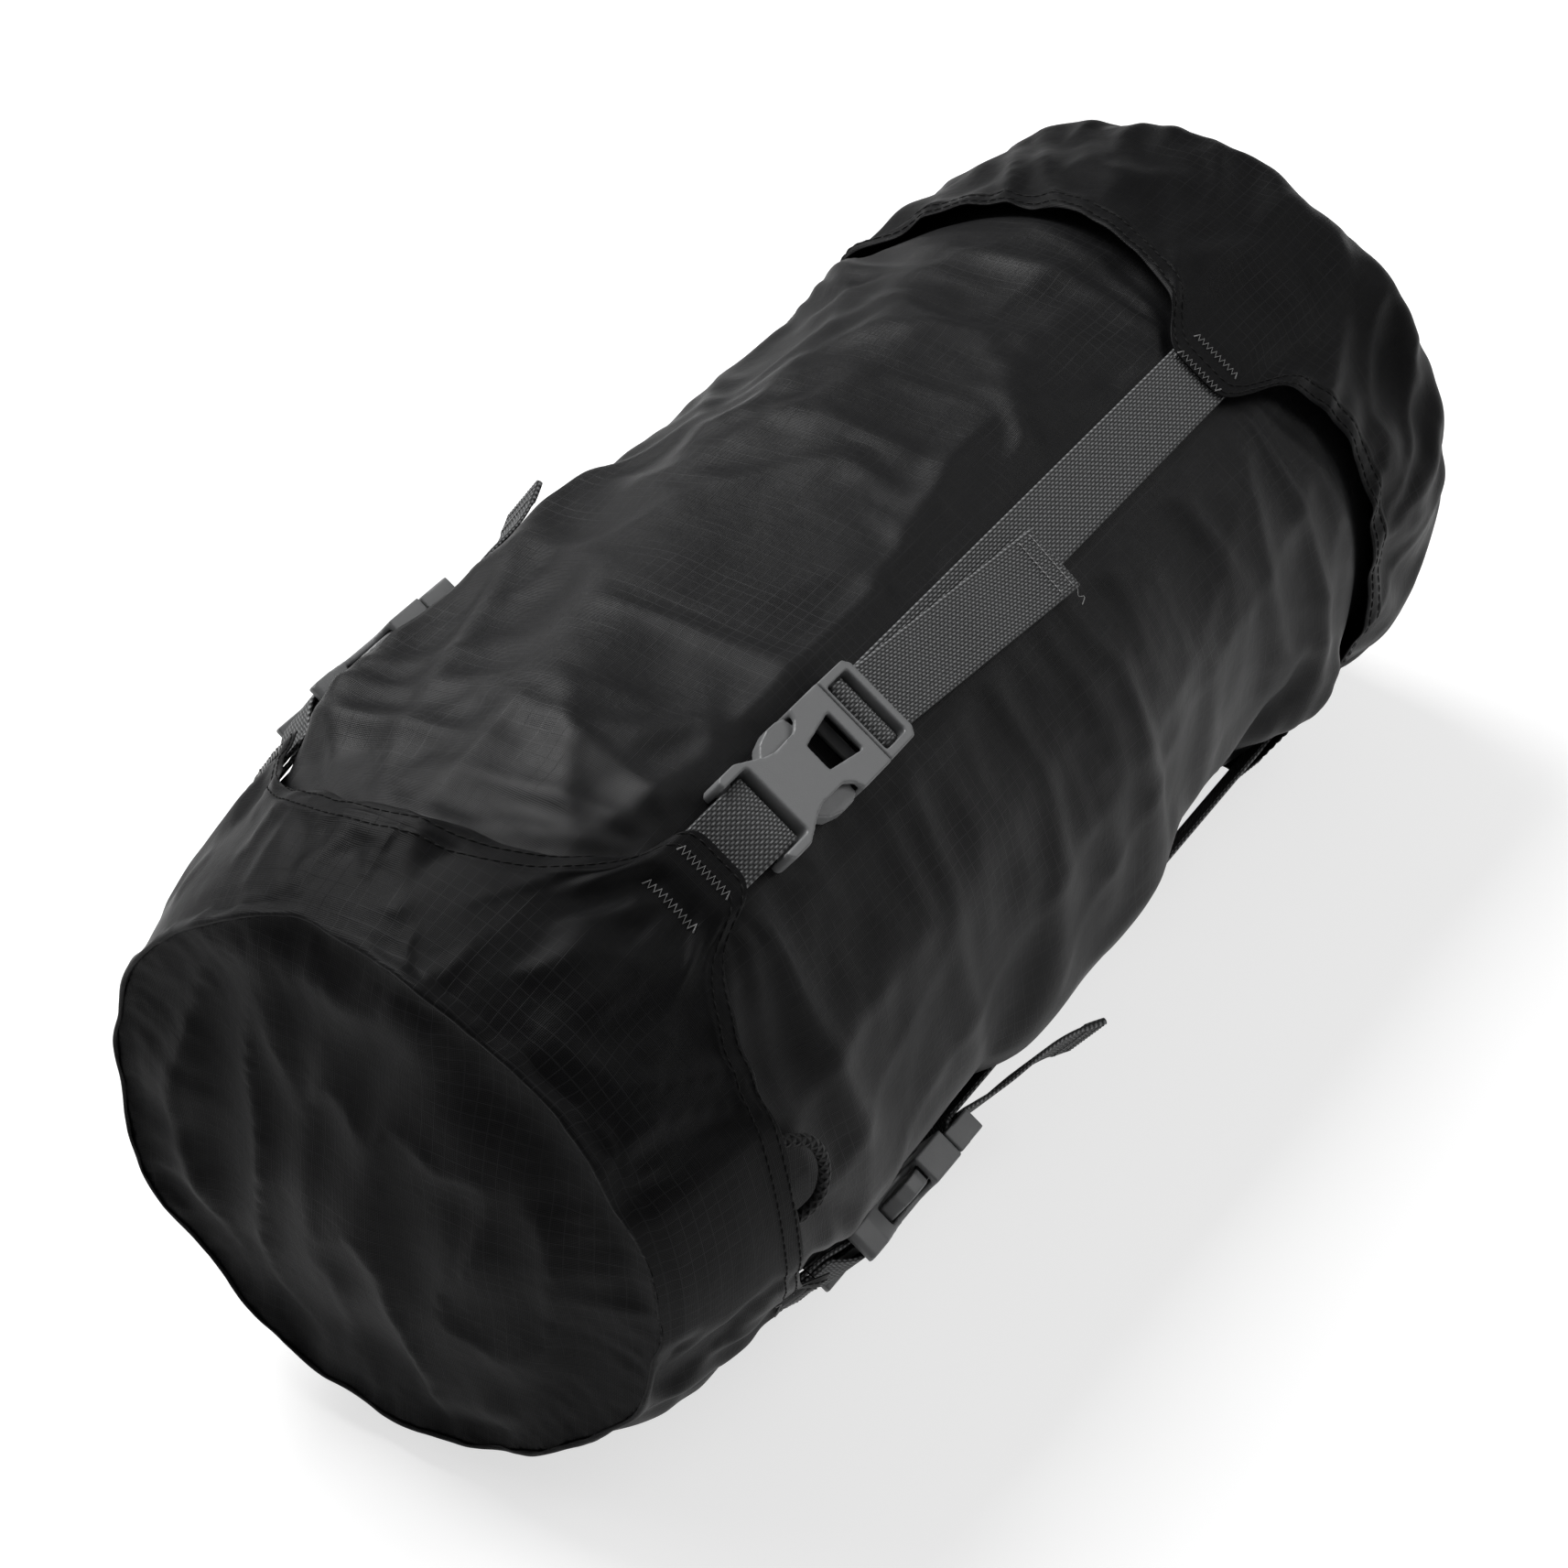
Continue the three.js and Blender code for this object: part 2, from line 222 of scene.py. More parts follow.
def run_along(path):
    """The distance along a path at each of its points."""
    return np.cumsum([0] + [(b - a).length for a, b in zip(path, path[1:])])


def tube_mesh(name, path, radius, sides):
    """A round tube along a list of points, all in millimetres."""
    path = [Vector(p) for p in path]
    run = run_along(path)
    points = []
    for p, (ahead, side) in zip(path, frames(path)):
        up = ahead.cross(side)
        points.append([p + (side * math.cos(t) + up * math.sin(t)) * radius
                       for t in (2 * math.pi * k / sides for k in range(sides))])
    u = np.repeat(run[:, None], sides + 1, 1)
    v = np.tile(np.arange(sides + 1) / sides * 2 * math.pi * radius, (len(path), 1))
    return grid_mesh(name, points, u, v, ends=True)


def joined(name, meshes):
    """One mesh from several."""
    bm = bmesh.new()
    for mesh in meshes:
        bm.from_mesh(mesh)
    out = bpy.data.meshes.new(name)
    bm.to_mesh(out)
    bm.free()
    for mesh in meshes:
        bpy.data.meshes.remove(mesh)
    return out


# ---------------- camera

def make_camera():
    """A long lens looking down the sack from the lid's side."""
    azimuth, elevation, distance = math.radians(-58.15), math.radians(38.59), 1.0339
    back = Vector((math.sin(azimuth) * math.cos(elevation),
                   -math.cos(azimuth) * math.cos(elevation), math.sin(elevation)))
    target = Vector((7.5, 0, AXIS_HEIGHT)) * MM
    data = bpy.data.cameras.new("camera")
    data.sensor_width = 36
    data.lens = 84.06
    data.shift_x = -0.04
    data.shift_y = -0.0423
    data.clip_start, data.clip_end = 0.01, 20
    camera = link(data)
    camera.location = target + back * distance
    camera.rotation_mode = "QUATERNION"
    camera.rotation_quaternion = (-back).to_track_quat("-Z", "Y")
    bpy.context.scene.camera = camera


# ---------------- materials

class Nodes:
    """A material's node tree with short calls for the nodes that the finishes share."""

    def __init__(self, name, colour, roughness, **sockets):
        self.material = bpy.data.materials.new(name)
        self.material.use_nodes = True
        self.tree = self.material.node_tree
        self.shader = self.tree.nodes["Principled BSDF"]
        self.shader.inputs["Base Color"].default_value = (*colour, 1)
        self.shader.inputs["Roughness"].default_value = roughness
        for socket, value in sockets.items():
            self.shader.inputs[socket.replace("_", " ")].default_value = value

    def add(self, kind, links=(), **settings):
        node = self.tree.nodes.new(kind)
        for key, value in settings.items():
            setattr(node, key, value)
        for socket, source in dict(links).items():
            if hasattr(source, "links"):
                self.tree.links.new(source, node.inputs[socket])
            else:
                node.inputs[socket].default_value = source
        return node

    def math(self, operation, a, b=0.0):
        return self.add("ShaderNodeMath", {0: a, 1: b}, operation=operation).outputs[0]

    def attribute(self, name):
        return self.add("ShaderNodeAttribute", attribute_name=name).outputs["Vector"]

    def split(self, vector):
        node = self.add("ShaderNodeSeparateXYZ", {0: vector})
        return node.outputs[0], node.outputs[1]

    def noise(self, vector, scale, detail=2.0, roughness=0.5):
        links = {"Scale": scale, "Detail": detail, "Roughness": roughness, "Vector": vector}
        return self.add("ShaderNodeTexNoise", links).outputs["Fac"]

    def place(self):
        return self.add("ShaderNodeTexCoord").outputs["Object"]

    def ramp(self, value, low, high, out_low=0.0, out_high=1.0):
        links = {0: value, 1: low, 2: high, 3: out_low, 4: out_high}
        return self.add("ShaderNodeMapRange", links, clamp=True).outputs[0]

    def mix(self, factor, a, b):
        a, b = (colour if hasattr(colour, "links") else (*colour, 1) for colour in (a, b))
        return self.add("ShaderNodeMix", {0: factor, 6: a, 7: b}, data_type="RGBA").outputs[2]

    def bump(self, height, distance, strength=1.0, normal=None):
        links = {"Height": height, "Distance": distance, "Strength": strength}
        if normal is not None:
            links["Normal"] = normal
        return self.add("ShaderNodeBump", links).outputs[0]

    def plug(self, socket, value):
        self.tree.links.new(value, self.shader.inputs[socket])

    def uneven_gloss(self, scale, detail, low, high):
        """Roughness that drifts between two values over the surface."""
        self.plug("Roughness", self.ramp(self.noise(self.place(), scale, detail), 0.3, 0.7,
                                         low, high))


def ripstop(name, ior, shade):
    """Black silky ripstop nylon: a fine plain weave with a thicker yarn every 3.5 mm."""
    n = Nodes(name, (0.005, 0.005, 0.0054), 0.46, Sheen_Weight=0.01, Sheen_Roughness=0.45, IOR=ior)
    n.shader.inputs["Sheen Tint"].default_value = (0.8, 0.82, 0.85, 1)
    u, v = n.split(n.attribute("weave"))
    pitch, yarn_half, weave_turns = 0.0035, 0.00024, 14000.0
    grid = [n.ramp(n.math("PINGPONG", axis, pitch / 2), 0.0, yarn_half, 1.0, 0.0)
            for axis in (u, v)]
    yarn = n.math("MAXIMUM", grid[0], grid[1])
    patchy = n.ramp(n.noise(n.place(), 22.0, 3.0), 0.42, 0.62)
    shown = n.math("MULTIPLY", yarn, patchy)
    cross = n.math("ADD", n.math("SINE", n.math("MULTIPLY", u, weave_turns)),
                   n.math("SINE", n.math("MULTIPLY", v, weave_turns)))
    crumple = n.noise(n.place(), 90.0, 4.0, 0.6)
    dust = n.noise(n.place(), 300.0, 2.0)
    cloth, bright, dusty = ((shade * grey, shade * grey, shade * blue)
                            for grey, blue in ((1, 1.08), (4.6, 4.8), (1.7, 1.8)))
    colour = n.mix(n.math("MULTIPLY", shown, 0.7), cloth, bright)
    n.plug("Base Color", n.mix(n.ramp(dust, 0.4, 0.75, 0.0, 0.35), colour, dusty))
    n.uneven_gloss(35.0, 3.0, 0.40, 0.54)
    first = n.bump(crumple, 0.0007, 0.5)
    second = n.bump(cross, 0.00003, 0.5, first)
    n.plug("Normal", n.bump(yarn, 0.00004, 0.6, second))
    return n.material


def webbing(name, rib, along, tone):
    """Grey polyester webbing. rib is the pitch across the band and along the pitch down it."""
    n = Nodes(name, tone, 0.78, Sheen_Weight=0.05, Sheen_Roughness=0.5, Specular_IOR_Level=0.2)
    u, v = n.split(n.attribute("weave"))
    row = n.math("MULTIPLY", u, 2 * math.pi / along)
    column = n.math("MULTIPLY", v, 2 * math.pi / rib)
    shift = n.math("MULTIPLY", n.math("SIGN", n.math("SINE", column)), math.pi / 2)
    bead = n.math("SINE", n.math("ADD", row, shift))
    ribs = n.math("ABSOLUTE", n.math("SINE", column))
    height = n.math("MULTIPLY", n.math("ADD", n.math("MULTIPLY", bead, 0.5), 0.6), ribs)
    fibre = n.noise(n.attribute("weave"), 2600.0, 3.0, 0.7)
    # The colour follows the weave's height: painted shade in the grooves between ribs and beads,
    # painted highlight on the raised beads, with fibre noise on top.
    dark = tuple(c * 0.12 for c in tone)
    light = tuple(c * 2.9 for c in tone)
    groove_shade_and_bead_light = n.math("ADD", height, n.math("MULTIPLY", fibre, 0.3))
    n.plug("Base Color", n.mix(n.ramp(groove_shade_and_bead_light, 0.1, 1.25), dark, light))
    first = n.bump(height, 0.0005, 0.9)
    n.plug("Normal", n.bump(fibre, 0.0001, 0.5, first))
    return n.material


def acetal():
    """Mid-grey moulded acetal with a fine spark-eroded texture, and a tone and gloss that drift
    over the surface.
    """
    n = Nodes("grey_acetal", (0.13, 0.132, 0.134), 0.42, Specular_IOR_Level=0.4)
    fine = n.noise(n.place(), 2600.0, 2.0)
    broad = n.noise(n.place(), 120.0, 3.0)
    n.plug("Base Color", n.mix(n.ramp(broad, 0.3, 0.7), (0.118, 0.12, 0.122),
                               (0.145, 0.147, 0.149)))
    n.plug("Roughness", n.ramp(broad, 0.3, 0.7, 0.36, 0.5))
    n.plug("Normal", n.bump(fine, 0.00008, 0.5))
    return n.material


def braid():
    """Black braided cord: two sets of strands that wind opposite ways."""
    n = Nodes("braided_cord", (0.012, 0.012, 0.0125), 0.7, Sheen_Weight=0.04, Sheen_Roughness=0.5,
              Specular_IOR_Level=0.2)
    u, v = n.split(n.attribute("weave"))
    waves = []
    for way in (1, -1):
        slant = n.math("ADD", n.math("MULTIPLY", u, 2300.0), n.math("MULTIPLY", v, way * 2500.0))
        waves.append(n.math("SINE", slant))
    height = n.math("MAXIMUM", waves[0], waves[1])
    # The colour follows the strands' height: painted shade in the grooves between them.
    n.plug("Base Color", n.mix(n.ramp(height, -0.2, 1.0), (0.003, 0.003, 0.003),
                               (0.014, 0.014, 0.0145)))
    n.plug("Normal", n.bump(height, 0.00045, 0.9))
    return n.material


def thread(name, tone):
    """Sewing thread, darker in its twists."""
    n = Nodes(name, tone, 0.75, Specular_IOR_Level=0.15)
    twist = n.noise(n.place(), 3000.0, 2.0)
    n.plug("Base Color", n.mix(n.ramp(twist, 0.3, 0.7), tuple(c * 0.6 for c in tone), tone))
    return n.material


def steel():
    """Spring wire."""
    n = Nodes("spring_steel", (0.55, 0.55, 0.56), 0.28, Metallic=1.0)
    n.uneven_gloss(900.0, 2.0, 0.22, 0.36)
    return n.material


def floor_paint():
    """A white floor that gives off some light itself, so that it stays pale in soft light."""
    n = Nodes("pale_floor", (0.45, 0.45, 0.45), 0.85, Emission_Strength=0.66)
    n.shader.inputs["Emission Color"].default_value = (1, 1, 1, 1)
    n.uneven_gloss(8.0, 2.0, 0.8, 0.9)
    return n.material


# ---------------- cloth

COLUMNS = 208
BODY_ROWS = 150
ANGLES = np.arange(COLUMNS) * 360 / COLUMNS
CLOTH = 0.5
NO_LIMIT = -999.0


def kit_coordinates(y, z, degrees):
    a = math.radians(degrees)
    return y * math.cos(a) + z * math.sin(a), -y * math.sin(a) + z * math.cos(a)


def press(x, y, z, highest, lowest=None, softness=0.35):
    for k, degrees in enumerate(KIT_ANGLES):
        a = math.radians(degrees)
        across, out = kit_coordinates(y, z, degrees)
        limit = highest(k, x, across)
        gap = np.clip((limit - out) / softness, -40, 40)
        new = limit - softness * np.log1p(np.exp(gap))
        new = np.where(limit - out > 10, out, new)
        if lowest is not None:
            new = np.maximum(new, np.where(np.abs(across) < 30, lowest(k, x, across), NO_LIMIT))
        new = np.where(out > 40, new, out)
        y = y - (new - out) * math.sin(a)
        z = z + (new - out) * math.cos(a)
    return y, z


def radius_of(profile):
    """A smooth radius along the sack from an outline of [x, radius] points."""
    xs = np.linspace(profile[0][0], profile[-1][0], 500)
    rs = np.interp(xs, [p[0] for p in profile], [p[1] for p in profile])
    pad = np.pad(rs, 30, mode="reflect", reflect_type="odd")
    kernel = np.hanning(31)
    smooth = np.convolve(pad, kernel / kernel.sum(), "same")[30:-30]
    return lambda x: np.interp(x, xs, smooth)


def field(points, scale, offset):
    """Smooth noise from -1 to 1 at points in millimetres; scale is its grain in millimetres."""
    shift = Vector((offset * 7.31, offset * 3.77, offset * 5.19))
    flat = np.asarray(points, float).reshape(-1, 3) / scale
    out = np.zeros(len(flat))
    for i, p in enumerate(flat):
        out[i] = noise.noise(Vector(p) + shift)
    return out.reshape(np.asarray(points).shape[:-1])


def creases(x, degrees, radius, length, width, lean, offset):
    """Ridged folds that run along the cloth, longer than they are wide, and lean as they go."""
    turn = np.radians(degrees + x * lean)
    stretched = np.stack([x / length * width, radius * np.sin(turn), radius * np.cos(turn)], -1)
    value = field(stretched, width, offset)
    return 1 - 2 * np.abs(value) ** 0.7


def wrap(degrees):
    """Angles brought to between -180 and 180."""
    return (np.asarray(degrees) + 180) % 360 - 180


def hem_line(tongue, arches):
    """The hem's x at every column. arches are (valley, power) from the first arch round."""
    x = np.full(COLUMNS, float(tongue))
    for k, (valley, power) in enumerate(arches):
        off = wrap(ANGLES - (STRAP_ANGLE + 45 + 90 * k))
        u = np.clip(np.abs(off) / ARCH_HALF_ANGLE, 0, 1)
        x += (valley - tongue) * (1 - u ** power) ** (1 / power)
    # The tongue's corners are turned under, so they are a little round.
    kernel = np.array([1, 2, 1]) / 4
    for _ in range(2):
        x = np.convolve(np.pad(x, 1, mode="wrap"), kernel, "valid")
    return x


HEMS = {
    "lid": hem_line(TONGUES["lid"], [(-167, 2.3), (-171, 2.2), (-170, 2.2), (-175, 2.0)]),
    "base": hem_line(TONGUES["base"], [(144.5, 2.6), (141, 2.2), (141, 2.2), (138.5, 1.75)]),
}


def spokes(x, y, z, centre, way, offset):
    """Soft pleats that fan out over the cloth from each strap's tongue."""
    reach = 46
    total = np.zeros(x.shape)
    for k, degrees in enumerate(KIT_ANGLES):
        across, out = kit_coordinates(y, z, degrees)
        along = (x - centre) * way
        angle = np.arctan2(across, along + 4)
        far = np.hypot(across, along)
        wave = np.sin(angle * 7.5 + offset + 2.1 * k + 1.3 * np.sin(3 * angle + k))
        wave = 1 - np.abs(wave) ** 0.8 * 1.6
        shown = np.exp(-(far / reach) ** 2) * smooth_step(far, 9, 22) * (out > 30)
        total += wave * shown
    return total


def strap_limit(k, x, across):
    """The body stays under the straps, the buckles and the lid's tabs."""
    side = np.clip(np.abs(across) - 13.5, 0, None)
    level = np.interp(x, [-152, -128, -120], [89.9, 92.6, 93.0])
    level = np.where(x < -154, 99, level)
    return level + side ** 2 * 0.05


def sack_body():
    """The stuffed tube: slack nylon pushed out by what is in it and drawn in by its straps."""
    radius = radius_of(BODY_PROFILE)
    rows = np.linspace(BODY_PROFILE[0][0], BODY_PROFILE[-1][0], BODY_ROWS)
    x, degrees = np.meshgrid(rows, ANGLES, indexing="ij")
    r = radius(x)
    round_points = ring_of(x, r, degrees)
    ends = smooth_step(x, -176, -150) * (1 - smooth_step(x, 196, 209))
    lumps = field(round_points, 62, 1) * 2.8 + field(round_points, 31, 2) * 1.7
    long_folds = creases(x, degrees, r, length=150, width=34, lean=0.16, offset=3) * 2.1
    short_folds = creases(x, degrees, r, length=62, width=17, lean=-0.22, offset=4) * 0.8
    patches = 0.35 + 0.65 * smooth_step(field(round_points, 70, 5), -0.25, 0.3)
    r = r + ends * (lumps + long_folds + short_folds * patches - 1.1)
    # The front strap bridges a hollow, and the body is slimmer under its buckle.
    hollow = 17 * smooth_step(x, 4, 42) * (1 - smooth_step(x, 84, 122))
    under_buckle = 8.0 * smooth_step(x, -135, -112) * (1 - smooth_step(x, -70, -48))
    near_front = np.exp(-(wrap(degrees - KIT_ANGLES[1]) / 27) ** 2)
    r = r - (hollow + under_buckle) * near_front
    # The cloth wells up beside the back buckle.
    beside = np.exp(-(wrap(degrees - KIT_ANGLES[3] - 13) / 7.5) ** 2)
    r = r + 6.5 * beside * smooth_step(x, -160, -125) * (1 - 0.75 * smooth_step(x, -60, -5)) * ends
    around_tongues = split_xyz(ring_of(x, r, degrees))
    fan = (spokes(*around_tongues, TONGUES["lid"], 1, 0.4)
           + spokes(*around_tongues, TONGUES["base"], -1, 1.9))
    return ring_of(x, r + fan * 1.4, degrees)


def over_cord(x, y, z):
    """The lid's skirt stays over the drawcord's loop and its lock."""
    r = np.hypot(y, z)
    off = wrap(np.degrees(np.arctan2(-y, z)) - CORD_ANGLE)
    least = np.interp(x, [-211, -203, -195, -184, -174, -166, -158, -150],
                      [81.5, 86.0, 88.5, 91.3, 93.3, 95.6, 98.0, 98.6])
    near = 1 - smooth_step(np.abs(off), 12.5, 19)
    target = np.where(x < -150, np.maximum(r, least), r)
    scale = 1 + near * (target / r - 1)
    return y * scale, z * scale


def not_sunken(x, y, z, radius, depth):
    """Cloth sinks little further than this depth under its outline."""
    r = np.hypot(y, z)
    least = radius(x) - depth
    scale = np.where(r < least, (least - 0.12 * (least - r)) / r, 1)
    return y * scale, z * scale


def tucked(x, y, z):
    """The body's cloth goes in under both hems and stays inside the skirts."""
    r = np.hypot(y, z)
    least = r
    reach = 14
    for end, way in WAYS.items():
        past = (x - HEMS[end]) * way
        limit = radius_of(CAP_PROFILES[end])(x) - 0.8 - 4.9 * smooth_step(past, -reach, 4)
        least = np.where(past > -reach, np.minimum(least, limit), least)
    return y * least / r, z * least / r


def settled(x, y, z, highest, lowest=None, floor=FLOOR):
    """Cloth pressed by its straps, and softly flattened where it rests on the floor."""
    y, z = press(x, y, z, highest, lowest)
    low = 1.2
    lifted = floor + low * np.log1p(np.exp(np.clip((z - floor) / low, -40, 40)))
    return y, np.where(z > floor + 20, z, lifted)


def world(points):
    """Millimetres about the sack's axis to millimetres above the floor."""
    return np.asarray(points, float) + (0, 0, AXIS_HEIGHT)


# The cloth is simulated ten times as large, where Blender's collisions work better.
SIM_SCALE = 10
SIM_FRAMES = 26


def grid_faces(rows, columns):
    """The faces of a grid of points whose last column joins its first."""
    following = [(j + 1) % columns for j in range(columns)]
    return [(i * columns + j, i * columns + n, (i + 1) * columns + n, (i + 1) * columns + j)
            for i in range(rows - 1) for j, n in enumerate(following)]


def slackened(points, faces, pinned, filling, growth, cap, calm):
    """Lets cloth that is cut a little too big settle on its filling, by cloth simulation.
    pinned is each point's hold, and no point moves further than cap, in millimetres."""
    flat = np.asarray(points, float).reshape(-1, 3)
    scale = SIM_SCALE * MM
    cloth_mesh = bpy.data.meshes.new("slack")
    cloth_mesh.from_pydata((flat * scale).tolist(), [], faces)
    cloth_obj = link(cloth_mesh)
    group = cloth_obj.vertex_groups.new(name="held")
    for level in np.unique(np.round(pinned, 1)):
        if level > 0:
            chosen = np.flatnonzero(np.round(pinned, 1) == level).tolist()
            group.add(chosen, float(level), "REPLACE")
    stuffing_mesh = bpy.data.meshes.new("stuffing")
    stuffing_mesh.from_pydata((np.asarray(filling[0], float) * scale).tolist(), [], filling[1])
    stuffing = link(stuffing_mesh)
    stuffing.modifiers.new("collision", "COLLISION")
    stuffing.collision.thickness_outer = 0.004
    stuffing.collision.cloth_friction = 12
    cloth = cloth_obj.modifiers.new("cloth", "CLOTH")
    settings = cloth.settings
    settings.quality = 5
    settings.mass = 0.12
    settings.tension_stiffness = 12
    settings.compression_stiffness = 12
    settings.shear_stiffness = 4
    settings.bending_stiffness = 0.5
    settings.tension_damping = settings.compression_damping = 6
    settings.air_damping = 2
    settings.vertex_group_mass = "held"
    settings.pin_stiffness = 1
    settings.shrink_min = -growth
    settings.effector_weights.gravity = 0.5
    cloth.collision_settings.collision_quality = 2
    cloth.collision_settings.distance_min = 0.006
    cloth.point_cache.frame_start = 1
    cloth.point_cache.frame_end = SIM_FRAMES
    scene = bpy.context.scene
    for frame_number in range(1, SIM_FRAMES + 1):
        scene.frame_set(frame_number)
    graph = bpy.context.evaluated_depsgraph_get()
    result = coordinates(cloth_obj.evaluated_get(graph).data) / scale
    for obj, mesh in ((cloth_obj, cloth_mesh), (stuffing, stuffing_mesh)):
        bpy.data.objects.remove(obj)
        bpy.data.meshes.remove(mesh)
    scene.frame_set(1)
    moved = calmed(result - flat, faces, calm)
    far = np.linalg.norm(moved, axis=1, keepdims=True)
    moved *= np.minimum(1, cap * np.tanh(far / cap) / np.maximum(far, 1e-6))
    return (flat + moved).reshape(np.shape(points))


def calmed(moved, faces, rounds):
    """Evens out each point's move with its neighbours', so that only soft folds are left."""
    pairs = {tuple(sorted((f[i], f[i - 1]))) for f in faces for i in range(len(f))}
    a, b = np.array(sorted(pairs)).T
    count = np.bincount(a, minlength=len(moved)) + np.bincount(b, minlength=len(moved))
    for _ in range(rounds):
        total = np.zeros_like(moved)
        np.add.at(total, a, moved[b])
        np.add.at(total, b, moved[a])
        moved = 0.45 * moved + 0.55 * total / np.maximum(count, 1)[:, None]
    return moved


def pressed_out(points, depth):
    """The filling inside a cloth: the same rows of points, drawn in towards the axis."""
    r = np.hypot(points[..., 1], points[..., 2])[..., None]
    inwards = (r - depth) / np.maximum(r, 1e-6)
    return points * np.concatenate([np.ones_like(r), inwards, inwards], -1)


def under_straps(points, half_width=11):
    """1 under the four straps and 0 away from them."""
    held = np.zeros(points.shape[:-1])
    for degrees in KIT_ANGLES:
        across, out = kit_coordinates(points[..., 1], points[..., 2], degrees)
        held = np.maximum(held, (np.abs(across) < half_width) & (out > 60))
    return held


def girth_weave(rows, radius):
    """How far round the sack each column lies, for the weave."""
    return np.tile(np.radians(np.arange(COLUMNS + 1) * 360 / COLUMNS) * radius, (rows, 1))


def make_body(material):
    """The body's cloth, settled on its filling and tucked in under both hems."""
    points = sack_body()
    x = points[..., 0]
    held = np.maximum.reduce([(x < -172) * 1.0, (x > 206) * 1.0, under_straps(points) * 0.8])
    faces = grid_faces(*points.shape[:2])
    filling = pressed_out(points, 3.0)[::2, ::2]
    stuffing = (filling.reshape(-1, 3), grid_faces(*filling.shape[:2]))
    points = slackened(points, faces, held.ravel(), stuffing, growth=0.045, cap=6.5, calm=3)
    x, y, z = split_xyz(points)
    y, z = tucked(x, y, z)
    y, z = settled(x, y, z, strap_limit)
    points = np.stack([x, y, z], -1)[:, ::-1]
    u = np.repeat(x[:, :1], COLUMNS + 1, 1)
    v = girth_weave(len(x), GIRTH_RADIUS)[:, ::-1]
    obj = link(grid_mesh("sack_body_cloth", world(points), u, v))
    thicken(obj, 1)
    finish_piece(obj, "sack", material, "nylon_black", "body_tube")


def thicken(obj, levels):
    """Subdivides a sheet and gives it the cloth's thickness, inwards."""
    subdivide = obj.modifiers.new("subdivide", "SUBSURF")
    subdivide.levels = subdivide.render_levels = levels
    shell = obj.modifiers.new("thickness", "SOLIDIFY")
    shell.thickness = CLOTH * MM
    shell.offset = -1
    applied(obj)


HEM_ROWS = (0, 0.8, 1.6, 2.4, 3.4, 4.6, 5.6, 6.4, 7.2, 8.2, 10)
SEAM_ROWS = (4.2, 2.4, 1.3, 0.6, 0)
MIDDLE_ROWS = 17


def cap_highest(end):
    """The skirts stay under the buckles, and lie free near the seam."""
    def limit(k, x, across):
        side = np.clip(np.abs(across) - 12, 0, None)
        level = 96.9 if end == "lid" else 96.1
        return level + side ** 2 * 0.04 + np.where(np.abs(x) > 175, 20, 0)
    return limit


def cap_lowest(end):
    """The skirts stay over the tabs and the straps' sewn ends."""
    def limit(k, x, across):
        if end == "lid":
            over = (np.abs(across) < 11.5) & (x > -151)
            level = np.interp(x, [-151, -135], [93.7, 96.1])
        else:
            over = (np.abs(across) < 11.5) & (x < 133)
            level = np.full(x.shape, 95.5)
        return np.where(over, level, NO_LIMIT)
    return limit


